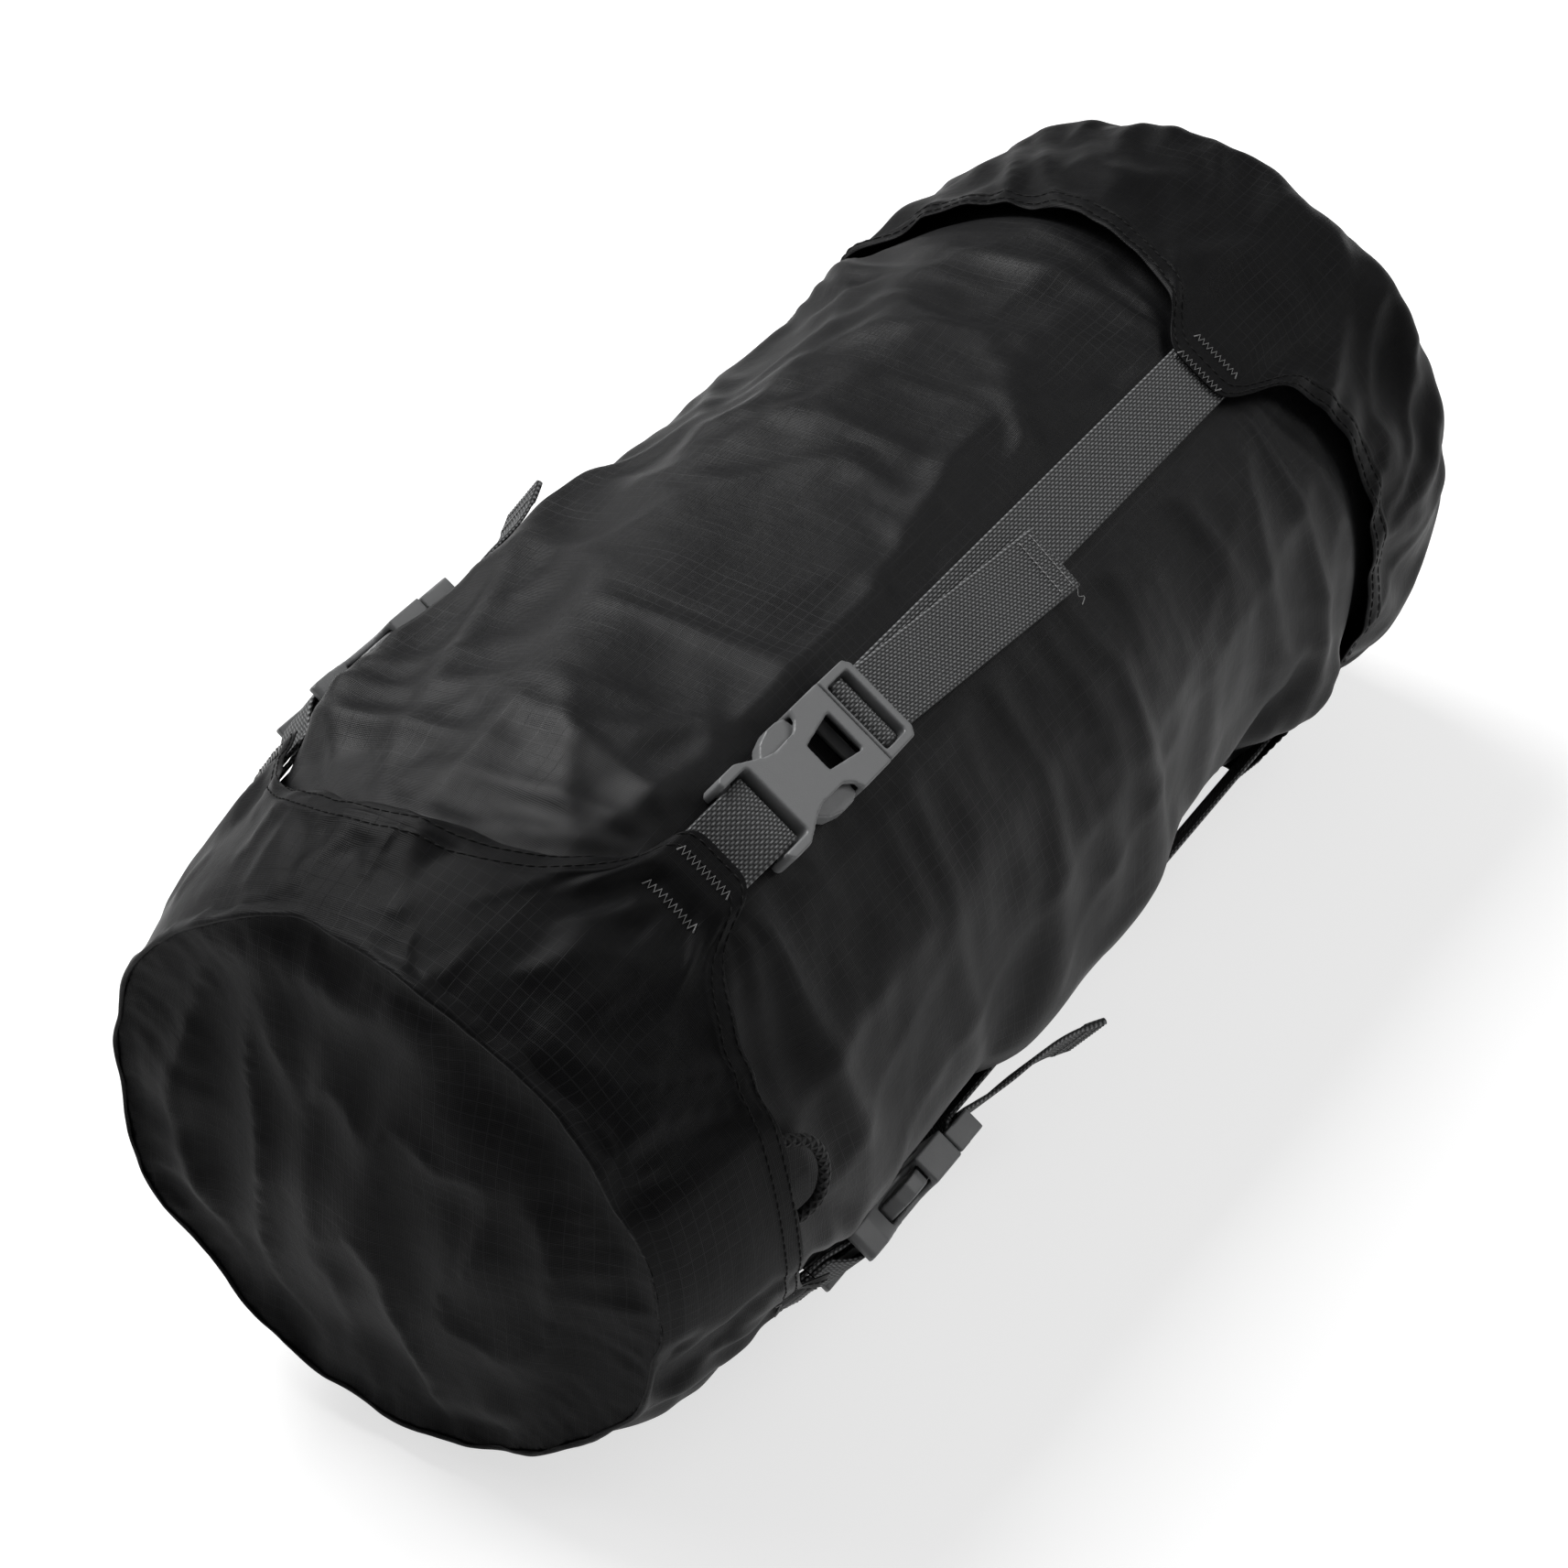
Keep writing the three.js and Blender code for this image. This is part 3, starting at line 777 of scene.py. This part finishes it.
def make_cap(end, body, material, shaded_panel_material, seed):
    """A cap is a skirt with a scalloped hem and a round end panel, gathered into one seam."""
    way, hem, seam_x = WAYS[end], HEMS[end], SEAMS[end]
    radius = radius_of(CAP_PROFILES[end])
    depth = np.abs(seam_x - hem)
    fixed = np.array(HEM_ROWS)
    rows = [hem + way * d for d in fixed]
    for i in range(1, MIDDLE_ROWS + 1):
        t = i / (MIDDLE_ROWS + 1)
        d = fixed[-1] + (depth - SEAM_ROWS[0] - fixed[-1]) * t
        rows.append(hem + way * d)
    rows += [np.full(COLUMNS, seam_x - way * d) for d in SEAM_ROWS]
    x = np.array(rows)
    degrees = np.tile(ANGLES, (len(x), 1))
    from_hem = np.abs(x - hem)
    from_seam = np.abs(seam_x - x)
    r = radius(x)
    ring = ring_of(x, r, degrees)
    inside = smooth_step(from_seam, 0, 16)
    r = r + inside * (field(ring, 40, seed) * 3.0 + field(ring, 20, seed + 1) * 1.8)
    gathers = creases(x, degrees, r, length=55, width=10, lean=0.05, offset=seed + 2)
    r = r + gathers * 2.2 * np.exp(-from_seam / 20) * smooth_step(from_seam, 0, 4)
    leaning = creases(x, degrees, r, length=60, width=15, lean=0.3 * way, offset=seed + 3)
    r = r + leaning * 1.7 * smooth_step(from_seam, 4, 20)
    r = r + spokes(*split_xyz(ring_of(x, r, degrees)), TONGUES[end], way, seed) * 2.4
    # The seam is pulled in, and the hem is flat, double and faintly scalloped by its stitches.
    r = r - 1.5 * np.exp(-(from_seam / 1.5) ** 2)
    fade = np.exp(-from_seam / 24)
    seam_ring = ring[-1] * (0, 1, 1)
    seam_wave = field(seam_ring, 47, seed + 11) * 5.0 + field(seam_ring, 20, seed + 12) * 1.6
    x = x + fade * way * seam_wave
    r = r + fade * (field(seam_ring, 40, seed + 13) * 4.0 + field(seam_ring, 17, seed + 14) * 1.6)
    pucker = field(ring * (0.35, 1, 1), 6.5, seed + 5)
    r = r + pucker * 0.45 * np.exp(-from_hem / 7)
    band = 1 - smooth_step(from_hem, 7.2, 8.6)
    r = r + 0.55 * band
    for line in STITCH_LINES:
        r = r - 0.42 * np.exp(-((from_hem - line) / 0.55) ** 2)
    r = r - 0.7 * np.exp(-(from_hem / 0.7) ** 2)
    limits = cap_highest(end), cap_lowest(end), CAP_FLOOR
    skirt_points = np.stack([x, *settled(*split_xyz(ring_of(x, r, degrees)), *limits)], -1)
    panel_points, panel_faces = end_panel(way, skirt_points[-1], seam_x, seed)

    # The skirt and the panel settle as one piece of cloth, held at the tongues and the seam.
    across_held = under_straps(skirt_points, 12) * np.clip(1.1 - from_hem / 45, 0.2, 1)
    held = np.maximum.reduce([across_held, 0.45 * (from_hem < 9), 0.95 * (from_seam < 1.5)])
    seam_start = (len(x) - 1) * COLUMNS
    whole = np.vstack([skirt_points.reshape(-1, 3), panel_points[COLUMNS:]])
    faces = grid_faces(*x.shape) + [tuple(i + seam_start for i in f) for f in panel_faces]
    held = np.concatenate([held.ravel(), np.zeros(len(panel_points) - COLUMNS)])
    filling = (inner_filling(whole, way, seam_x), faces)
    whole = slackened(whole, faces, held, filling, growth=0.05, cap=7.0, calm=2)
    skirt_points = whole[:x.size].reshape(*x.shape, 3)
    panel_points = whole[seam_start:]
    x, y, z = split_xyz(skirt_points)
    y, z = not_sunken(x, y, z, radius, depth=4.6)
    if end == "lid":
        y, z = over_cord(x, y, z)
    skirt_points = np.stack([x, *settled(x, y, z, *limits)], -1)
    panel_points[:COLUMNS] = skirt_points[-1]
    panel_points[:, 2] = np.maximum(panel_points[:, 2], -92.4)

    flip = 1 if end == "lid" else -1
    u = np.hstack([x, x[:, :1]])
    v = girth_weave(len(x), GIRTH_RADIUS)
    mesh = grid_mesh(f"{end}_skirt_cloth", world(skirt_points)[:, ::flip], u[:, ::flip],
                     v[:, ::flip])
    skirt = link(mesh)
    thicken(skirt, 2)
    finish_piece(skirt, body, material, "nylon_black", f"{end}_skirt")

    weave = [[(panel_points[i, 1], panel_points[i, 2]) for i in f] for f in panel_faces]
    mesh = new_mesh(f"{end}_panel_cloth", world(panel_points), panel_faces, weave)
    panel = link(mesh)
    bm = bmesh.new()
    bm.from_mesh(mesh)
    bmesh.ops.recalc_face_normals(bm, faces=bm.faces)
    axis = Vector((0, 0, AXIS_HEIGHT * MM))
    middle = min(bm.faces, key=lambda f: (f.calc_center_median() - axis).yz.length)
    if middle.normal.x * way < 0:
        bmesh.ops.reverse_faces(bm, faces=bm.faces)
    bm.to_mesh(mesh)
    bm.free()
    thicken(panel, 1)
    finish_piece(panel, body, shaded_panel_material, "nylon_black", f"{end}_panel")

    return skirt


def inner_filling(points, way, seam_x):
    """The filling inside a cap: its own shape, drawn in from the skirt and the end panel."""
    r = np.hypot(points[:, 1], points[:, 2])
    inwards = np.where(r > 1e-6, (r - 2.6) / np.maximum(r, 1e-6), 1)
    out = points * np.stack([np.ones_like(r), inwards, inwards], -1)
    out[:, 0] -= way * 2.4 * smooth_step(np.abs(points[:, 0]), abs(seam_x) - 6, abs(seam_x))
    return out


def end_panel(way, rim, seam_x, seed):
    """The round panel: rings of points with even spacing, triangulated."""
    points = [tuple(p) for p in rim]
    rim_radius = 83.0
    spacing = 2.9
    rings = int(rim_radius / spacing)
    for i in range(1, rings):
        r = rim_radius - i * spacing
        count = max(6, round(2 * math.pi * r / spacing))
        for j in range(count):
            a = 2 * math.pi * (j + 0.5 * (i % 2)) / count
            points.append((0, r * math.sin(a), r * math.cos(a)))
    points.append((0, 0, 0))
    points = np.array(points)
    start = len(rim)
    # The rings keep to the rim's own outline.
    rim_turn = np.degrees(np.arctan2(rim[:, 1], rim[:, 2]))
    order = np.argsort(rim_turn)
    turn = np.degrees(np.arctan2(points[:, 1], points[:, 2]))
    outline = np.interp(turn, rim_turn[order], np.hypot(rim[:, 1], rim[:, 2])[order], period=360)
    rim_x = np.interp(turn, rim_turn[order], rim[:, 0][order], period=360) - seam_x
    points[start:, 1:] *= outline[start:, None] / rim_radius
    r = np.hypot(points[:, 1], points[:, 2]) / outline * rim_radius
    from_seam = np.clip(rim_radius - r, 0, None)
    degrees = np.degrees(np.arctan2(-points[:, 1], points[:, 2]))
    bulge = 10.5 * (1 - np.clip(r / rim_radius, 0, 1) ** 2.6)
    flat = points * (0, 1, 1)
    lumps = field(flat, 52, seed + 7) * 8.0 + field(flat, 26, seed + 8) * 3.0
    bulge += smooth_step(from_seam, 0, 18) * lumps
    ridge = 1 - 2 * np.abs(field(flat * (1, 1, 0.4), 21, seed + 9)) ** 0.75
    bulge += smooth_step(from_seam, 3, 22) * ridge * 3.0
    gathers = creases(from_seam, degrees, 84.0, length=50, width=9, lean=0.1, offset=seed + 2)
    bulge += gathers * 1.5 * np.exp(-from_seam / 14) * smooth_step(from_seam, 0, 4)
    points[start:, 0] = (seam_x + way * bulge + rim_x * (r / rim_radius) ** 3)[start:]
    flat_points = [Vector((p[1], p[2])) for p in points]
    _, _, faces, origin, _, _ = delaunay_2d_cdt(flat_points, [], [], 0, 1e-5)
    return points, [tuple(origin[i][0] for i in f) for f in faces if len(f) == 3]


# ---------------- webbing

def section():
    """A webbing's outline across, in order round it, with its lengthwise ribs on both faces."""
    half, edge = WEB_WIDTH / 2, WEB / 2
    ribs = 13
    count = ribs * 3
    top = []
    for i in range(count + 1):
        a = -half + edge + (WEB_WIDTH - WEB) * i / count
        top.append((a, edge + 0.07 * math.cos(2 * math.pi * ribs * i / count) - 0.04))
    side = [(half - edge + edge * math.sin(t), edge * math.cos(t)) for t in
            (math.pi * q / 4 for q in range(1, 4))]
    bottom = [(a, -h) for a, h in reversed(top)]
    return top + side + bottom + [(-a, h) for a, h in reversed(side)]


def webbing_mesh(name, path, sides, thickness):
    """Sweeps webbing along a path. sides are the vectors across it."""
    path = [Vector(p) for p in path]
    run = run_along(path)
    base = section()
    points = []
    for p, (ahead, side), thick in zip(path, frames(path, sides), thickness):
        up = ahead.cross(side)
        points.append([p + side * a + up * (h * (thick / WEB)) for a, h in base])
    columns = len(base)
    u = np.repeat(run[:, None], columns + 1, 1)
    v = np.tile(np.array([a for a, _ in base] + [base[0][0]]), (len(path), 1))
    return grid_mesh(name, np.array([[tuple(q) for q in row] for row in points])[:, ::-1],
                     u[:, ::-1], v[:, ::-1], ends=True)


def resample(points, step):
    """Points along a smooth curve, about a step apart."""
    fine = catmull(points, 12)
    run = run_along(fine)
    count = max(2, int(run[-1] / step))
    at = np.linspace(0, run[-1], count + 1)
    flat = np.array([tuple(p) for p in fine])
    return [Vector([np.interp(s, run, flat[:, i]) for i in range(3)]) for s in at]


def arc(x, z, radius, start, end, steps):
    turns = [math.radians(start + (end - start) * i / steps) for i in range(steps + 1)]
    return [(x + radius * math.cos(t), 0, z + radius * math.sin(t)) for t in turns]


def web_piece(name, k, body, material, node, path, sides=None, thickness=None):
    count = len(path)
    mesh = webbing_mesh(name, path, sides or [(0, 1, 0)] * count, thickness or [WEB] * count)
    mesh.transform(kit_matrix(KIT_ANGLES[k]))
    return finish_piece(link(mesh), body, material, "webbing_grey", node)


TAILS = ((83, 1.5, -5), (60, 14, 0), (70, 1.5, 0), (50, 12, 0))
TAIL_BASE = STRAP_PLANE + 1.5 * WEB + 0.3
TAIL_START = -69.6
LOCK_X = -71


def tail_path(k):
    """The strap's turn round the centre bar, and its free tail."""
    length, lift, swing = TAILS[k]
    turn = [(-74.4, 0, 94.3), (-76.4, 0, 95), *arc(-77.2, 98.8, 2.6, 240, 90, 6),
            (-75.2, 0, 100.8), (-73.9, 0, 98.4), (-72.6, 0, 96.9), (-70.4, 0, TAIL_BASE)]
    tail, steps = [], 11
    swing_angle, lift_angle = math.radians(swing), math.radians(lift)
    for i in range(1, steps + 1):
        along = (length + LOCK_X - TAIL_START) * i / steps
        rise = along * math.tan(lift_angle)
        if lift > 5:
            rise = rise * (0.62 + 0.38 * (i / steps)) + 1.2 * math.sin(i * 0.55)
        else:
            rise += 0.5 * math.sin(i * 0.75) ** 2
        tail.append((TAIL_START + along * math.cos(swing_angle), along * math.sin(swing_angle),
                     TAIL_BASE + rise))
    return turn + tail, swing_angle


def make_webbing(twill, plain, thread_material):
    for k, kit in enumerate(KITS):
        path = [(x, 0, STRAP_PLANE + WEB / 2) for x in np.linspace(-74, STRAP_SEWN_END, 190)]
        strap = web_piece(f"{kit}_strap_web", k, "sack", twill, f"{kit}_strap", path)
        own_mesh(strap)

        points, swing = tail_path(k)
        path = resample(points, 0.8)
        sides = [(-math.sin(swing) * smooth_step(p.x, -74, -62), math.cos(swing), 0) for p in path]
        # The tail's end is folded over.
        fold = [float(smooth_step(i, len(path) - 11.5, len(path) - 10)) for i in range(len(path))]
        web_piece(f"{kit}_tail_web", k, f"{kit}_plug", plain, f"{kit}_strap_tail", path, sides,
                  [WEB * (1 + 0.62 * share) for share in fold])
        end_stitches(kit, k, path, sides, thread_material)

        tab = [(-150, 0, 91.3), (-142, 0, 92.1), (-135, 0, 93.0), (-129, 0, 94.6), (-124, 0, 95.6),
               *arc(-121.6, 98.1, 2.5, -90, 80, 7), (-126.6, 0, 100.3), (-131, 0, 97.9),
               (-134.6, 0, 95.0), (-138, 0, 94.2), (-143, 0, 93.5), (-150, 0, 92.6)]
        path = resample(tab, 0.6)
        web_piece(f"{kit}_tab_web", k, "lid", plain, f"{kit}_lid_tab", path,
                  thickness=[1.05] * len(path))


def end_stitches(kit, k, path, sides, material):
    """Two lines of stitches across the tail's folded end, and one loose thread."""
    meshes = []
    for back in (3, 9):
        p = path[len(path) - 1 - back]
        ahead = (path[len(path) - back] - path[len(path) - 2 - back]).normalized()
        side = Vector(sides[len(path) - 1 - back]).normalized()
        up = ahead.cross(side)
        for i in range(-5, 6):
            middle = p + side * (i * 1.6) + up * (WEB * 0.81 + 0.06)
            ends = [middle + side * s * 0.6 + up * (0.16 if s == 0 else 0) for s in (-1, 0, 1)]
            meshes.append(tube_mesh("stitch", ends, 0.17, 6))
    if kit == "top":
        tip = path[-1]
        side = Vector(sides[-1])
        loose = [tip - side * aside + Vector((x, 0, z)) for aside, x, z in (
            (8.5, -2, 0.8), (10, -1.5, 0.6), (11.6, -2.6, 0.2), (12.8, -1.2, 0.4),
            (13.9, -3.4, 0.0))]
        meshes.append(tube_mesh("thread", resample(loose, 0.4), 0.12, 6))
    mesh = joined(f"{kit}_tail_stitches", meshes)
    mesh.transform(kit_matrix(KIT_ANGLES[k]))
    finish_piece(link(mesh), f"{kit}_plug", material, "webbing_grey")


# ---------------- stitching on the cloth

def on_surface(tree, k, x, across):
    m = kit_matrix(KIT_ANGLES[k])
    start = m @ (Vector((x, across, RAY_START)) * MM)
    down = -(m.to_3x3() @ Vector((0, 0, 1)))
    point, normal, _, _ = tree.ray_cast(start, down)
    return (point / MM, normal) if point else None


def make_bartacks(end, body, skirt, material):
    """The zigzag bartacks that hold each strap's end."""
    tree = BVHTree.FromObject(skirt, bpy.context.evaluated_depsgraph_get())
    meshes = []
    for k in range(4):
        for x in ((-143.2, -154.4) if end == "lid" else (107.6, 117.5)):
            path, steps, half_width, half_height = [], 20, 8.3, 1.15
            for i in range(steps + 1):
                across = -half_width + 2 * half_width * i / steps
                hit = on_surface(tree, k, x + (half_height if i % 2 else -half_height), across)
                if hit:
                    path.append(hit[0] + hit[1] * 0.12)
            if len(path) > 2:
                meshes.append(tube_mesh("bartack", path, 0.26, 6))
    finish_piece(link(joined(f"{end}_bartacks", meshes)), body, material, "webbing_grey")


def make_hem_stitches(end, body, skirt, material):
    """Two lines of lockstitches along the hem."""
    tree = BVHTree.FromObject(skirt, bpy.context.evaluated_depsgraph_get())
    hem, pitch = HEMS[end], 2.9
    meshes = []
    turns = np.linspace(0, 360, 4000, endpoint=False)
    line_x = np.interp(turns, np.append(ANGLES, 360), np.append(hem, hem[0]))
    for offset in STITCH_LINES:
        x = line_x + WAYS[end] * offset
        steps = np.hypot(np.diff(x, append=x[0]), math.radians(turns[1]) * GIRTH_RADIUS)
        run = np.concatenate([[0], np.cumsum(steps)])[:-1]
        for i in range(int(run[-1] / pitch)):
            ends = []
            for share in (0.12, 0.5, 0.88):
                at = (i + share) * pitch
                px, degrees = np.interp(at, run, x), np.interp(at, run, turns)
                a = math.radians(degrees)
                out = Vector((0, -math.sin(a), math.cos(a)))
                start = (Vector((px, 0, AXIS_HEIGHT)) + out * RAY_START) * MM
                point, normal, _, _ = tree.ray_cast(start, -out)
                if point:
                    ends.append(point / MM + out * (0.16 if share == 0.5 else -0.02))
            if len(ends) == 3:
                meshes.append(tube_mesh("stitch", ends, 0.2, 5))
    finish_piece(link(joined(f"{end}_hem_stitches", meshes)), body, material, "nylon_black")


# ---------------- buckles

def moulded(name, node, cut_before=None, smoothing=6):
    """A moulded piece's rounded shape from its solid. What lies before cut_before is left off."""
    source = bpy.data.objects[node]
    mesh = source.data.copy()
    mesh.name = name
    obj = link(mesh)
    obj.matrix_world = source.matrix_world
    if cut_before is not None:
        bm = bmesh.new()
        bm.from_mesh(obj.data)
        bmesh.ops.remove_doubles(bm, verts=bm.verts, dist=0.01 * MM)
        cut = bmesh.ops.bisect_plane(bm, geom=[*bm.verts, *bm.edges, *bm.faces],
                                     plane_co=(cut_before * MM, 0, 0), plane_no=(1, 0, 0),
                                     clear_inner=True)
        edges = [e for e in cut["geom_cut"] if isinstance(e, bmesh.types.BMEdge)]
        bmesh.ops.triangle_fill(bm, edges=edges, use_beauty=True)
        bm.to_mesh(obj.data)
        bm.free()
    remesh = obj.modifiers.new("round", "REMESH")
    remesh.mode = "VOXEL"
    remesh.voxel_size = 0.42 * MM
    remesh.use_smooth_shade = True
    smooth = obj.modifiers.new("smooth", "SMOOTH")
    smooth.factor = 0.6
    smooth.iterations = smoothing
    applied(obj)
    return obj


def make_buckles(material):
    """Four side-release buckles, each in four parts. The frame's guide tongue is left off."""
    guide_end = -82.15
    for kit in KITS:
        for piece, body in (("buckle_socket", "lid"), ("buckle_frame", f"{kit}_plug"),
                            ("latch_left", f"{kit}_latch_left"),
                            ("latch_right", f"{kit}_latch_right")):
            node = f"{kit}_{piece}"
            cut = guide_end if piece == "buckle_frame" else None
            obj = moulded(f"{kit}_moulded_{piece}", node, cut)
            finish_piece(obj, body, material, "acetal_grey", node)


# ---------------- cord

# One side of the loop: x, radius, and degrees from the cord lock's own angle.
SIDE_ROUTE = (
    (-201, 74.5, 1.7), (-202.4, 74.5, 1.75), (-204.4, 75, 3.1), (-205.9, 76, 6.2),
    (-203.6, 77.4, 9), (-199, 80, 9.8), (-192, 84, 9.4), (-184, 86.9, 8.9), (-174, 88.6, 8.6),
    (-166, 91.2, 8.2), (-158, 94.8, 5.4))


def make_cords(material):
    """The drawcord's free loop, from the cord lock out under the lid's hem and back."""
    route = [around(x, r, CORD_ANGLE - d) for x, r, d in SIDE_ROUTE]
    route.append(around(-155.2, 95.6, CORD_ANGLE))
    route += [around(x, r, CORD_ANGLE + d) for x, r, d in reversed(SIDE_ROUTE)]
    path = resample([p / MM for p in route], 0.8)
    obj = link(tube_mesh("drawcord_free_loop", path, CORD_RADIUS, 16))
    finish_piece(obj, "sack", material, "cord_black", "drawcord_loop")


def make_ring(material):
    """The drawcord inside the mouth's casing, and its two ends that run to the lock."""
    meshes = []
    for way in (1, -1):
        leg = [(-200.5, 74.5, 1.7), (-195, 74.5, 1.7), (-188.5, 74.5, 1.7), (-186.2, 77.2, 1.9),
               (-183, 80.2, 3.4), (-180.8, 80.8, 7.5)]
        path = resample([around(x, r, CORD_ANGLE + way * d) / MM for x, r, d in leg], 1.0)
        meshes.append(tube_mesh("leg", path, CORD_RADIUS, 12))
    turns = [around(-180.8, 80.8, CORD_ANGLE + 7 + 346 * i / 120) / MM for i in range(121)]
    meshes.append(tube_mesh("ring", turns, CORD_RADIUS, 12))
    obj = link(joined("drawcord_in_casing", meshes))
    finish_piece(obj, "sack", material, "cord_black", "drawcord_ring")


def make_casing(material):
    """The rolled casing round the mouth, puckered on its cord."""
    count, middle = 22, -180.6
    t = np.linspace(0, 2 * math.pi, count, endpoint=False)
    across, out = (np.sign(side) * np.abs(side) ** 0.6 for side in (np.cos(t), np.sin(t)))
    x, degrees = np.meshgrid(middle - 4.6 * across, ANGLES, indexing="ij")
    r = np.repeat((80.7 + 3.2 * out)[:, None], COLUMNS, 1)
    ring = ring_of(0 * x, 80, degrees)
    pucker = 1 - 2 * np.abs(field(ring, 5.0, 61)) ** 0.8
    r = r + pucker * 0.55 + field(ring, 14, 62) * 0.5
    points = ring_of(x + pucker * 0.5 * np.sign(x - middle), r, degrees)
    points = np.concatenate([points, points[:1]])[::-1]
    u = np.repeat((np.arange(count + 1) * 0.7)[:, None], COLUMNS + 1, 1)
    v = girth_weave(count + 1, 81)
    mesh = grid_mesh("mouth_casing_cloth", world(points), u, v)
    bm = bmesh.new()
    bm.from_mesh(mesh)
    bmesh.ops.remove_doubles(bm, verts=bm.verts, dist=0.01 * MM)
    bmesh.ops.recalc_face_normals(bm, faces=bm.faces)
    bm.to_mesh(mesh)
    bm.free()
    finish_piece(link(mesh), "sack", material, "nylon_black", "mouth_casing")


def make_spring(material):
    """The cord lock's spring, which is pressed flat against the barrel's closed end."""
    steps, coil, height = 24, 3.8, 2.9
    count = 3 * steps
    path = []
    for i in range(count + 1):
        t = 2 * math.pi * i / steps
        path.append((LOCK_CENTRE + coil * math.cos(t), coil * math.sin(t), 80 + height * i / count))
    mesh = tube_mesh("cord_lock_spring_wire", path, 0.35, 8)
    mesh.transform(kit_matrix(CORD_ANGLE))
    obj = link(mesh)
    finish_piece(obj, "sack", material, "spring_steel", "cord_lock_spring")
    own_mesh(obj)


# ---------------- stage

def make_stage():
    """A pale floor, white surroundings and three soft lights."""
    mesh = bpy.data.meshes.new("floor")
    half = 6.0
    mesh.from_pydata([(-half, -half, 0), (half, -half, 0), (half, half, 0), (-half, half, 0)], [],
                     [(0, 1, 2, 3)])
    floor = link(mesh)
    floor.location.z = -0.0005
    floor.data.materials.append(floor_paint())
    world_data = bpy.data.worlds.new("studio")
    world_data.use_nodes = True
    background = world_data.node_tree.nodes["Background"]
    background.inputs["Color"].default_value = (1, 1, 1, 1)
    background.inputs["Strength"].default_value = 0.2
    bpy.context.scene.world = world_data
    for name, place, size, power in (("key", (0.1, 1.0, 1.5), 1.0, 44),
                                     ("left", (-0.9, 1.5, 1.3), 0.9, 5),
                                     ("right", (1.0, -1.1, 1.3), 1.1, 9)):
        data = bpy.data.lights.new(name, "AREA")
        data.shape = "SQUARE"
        data.size = size
        data.energy = power
        lamp = link(data)
        lamp.location = place
        aim = Vector((0, 0, 0.09)) - lamp.location
        lamp.rotation_mode = "QUATERNION"
        lamp.rotation_quaternion = aim.to_track_quat("-Z", "Y")
    bpy.context.scene.view_settings.view_transform = "Standard"
    bpy.context.scene.view_settings.look = "None"


def main():
    make_camera()
    cord_material = braid()
    make_cords(cord_material)
    make_stage()
    nylon = ripstop("ripstop_nylon", 1.25, 0.0044)
    # Painted shade: the caps' skirts get a darker, less glossy copy of the body's cloth.
    shaded_cap_nylon = ripstop("shaded_cap_nylon", 1.16, 0.0032)
    # Painted shade: the end panels face the pale floor, so they get a darker, less glossy copy of
    # the same cloth.
    shaded_panel_nylon = ripstop("shaded_panel_nylon", 1.12, 0.0026)
    grey = acetal()
    twill = webbing("strap_webbing", 0.0016, 0.0022, (0.062, 0.063, 0.064))
    plain = webbing("tail_webbing", 0.0016, 0.0017, (0.066, 0.067, 0.068))
    grey_thread = thread("grey_thread", (0.25, 0.25, 0.25))
    black_thread = thread("black_thread", (0.006, 0.006, 0.006))
    make_body(nylon)
    for end, body, seed in (("lid", "lid", 20), ("base", "sack", 40)):
        skirt = make_cap(end, body, shaded_cap_nylon, shaded_panel_nylon, seed)
        make_bartacks(end, body, skirt, grey_thread)
        make_hem_stitches(end, body, skirt, black_thread)
    make_webbing(twill, plain, grey_thread)
    make_buckles(grey)
    make_ring(cord_material)
    make_casing(nylon)
    for node, body in (("cord_lock_barrel", "sack"), ("cord_lock_plunger", "cord_lock_button")):
        finish_piece(moulded(f"{node}_moulded", node, smoothing=2), body, grey, "acetal_grey", node)
    make_spring(steel())


main()
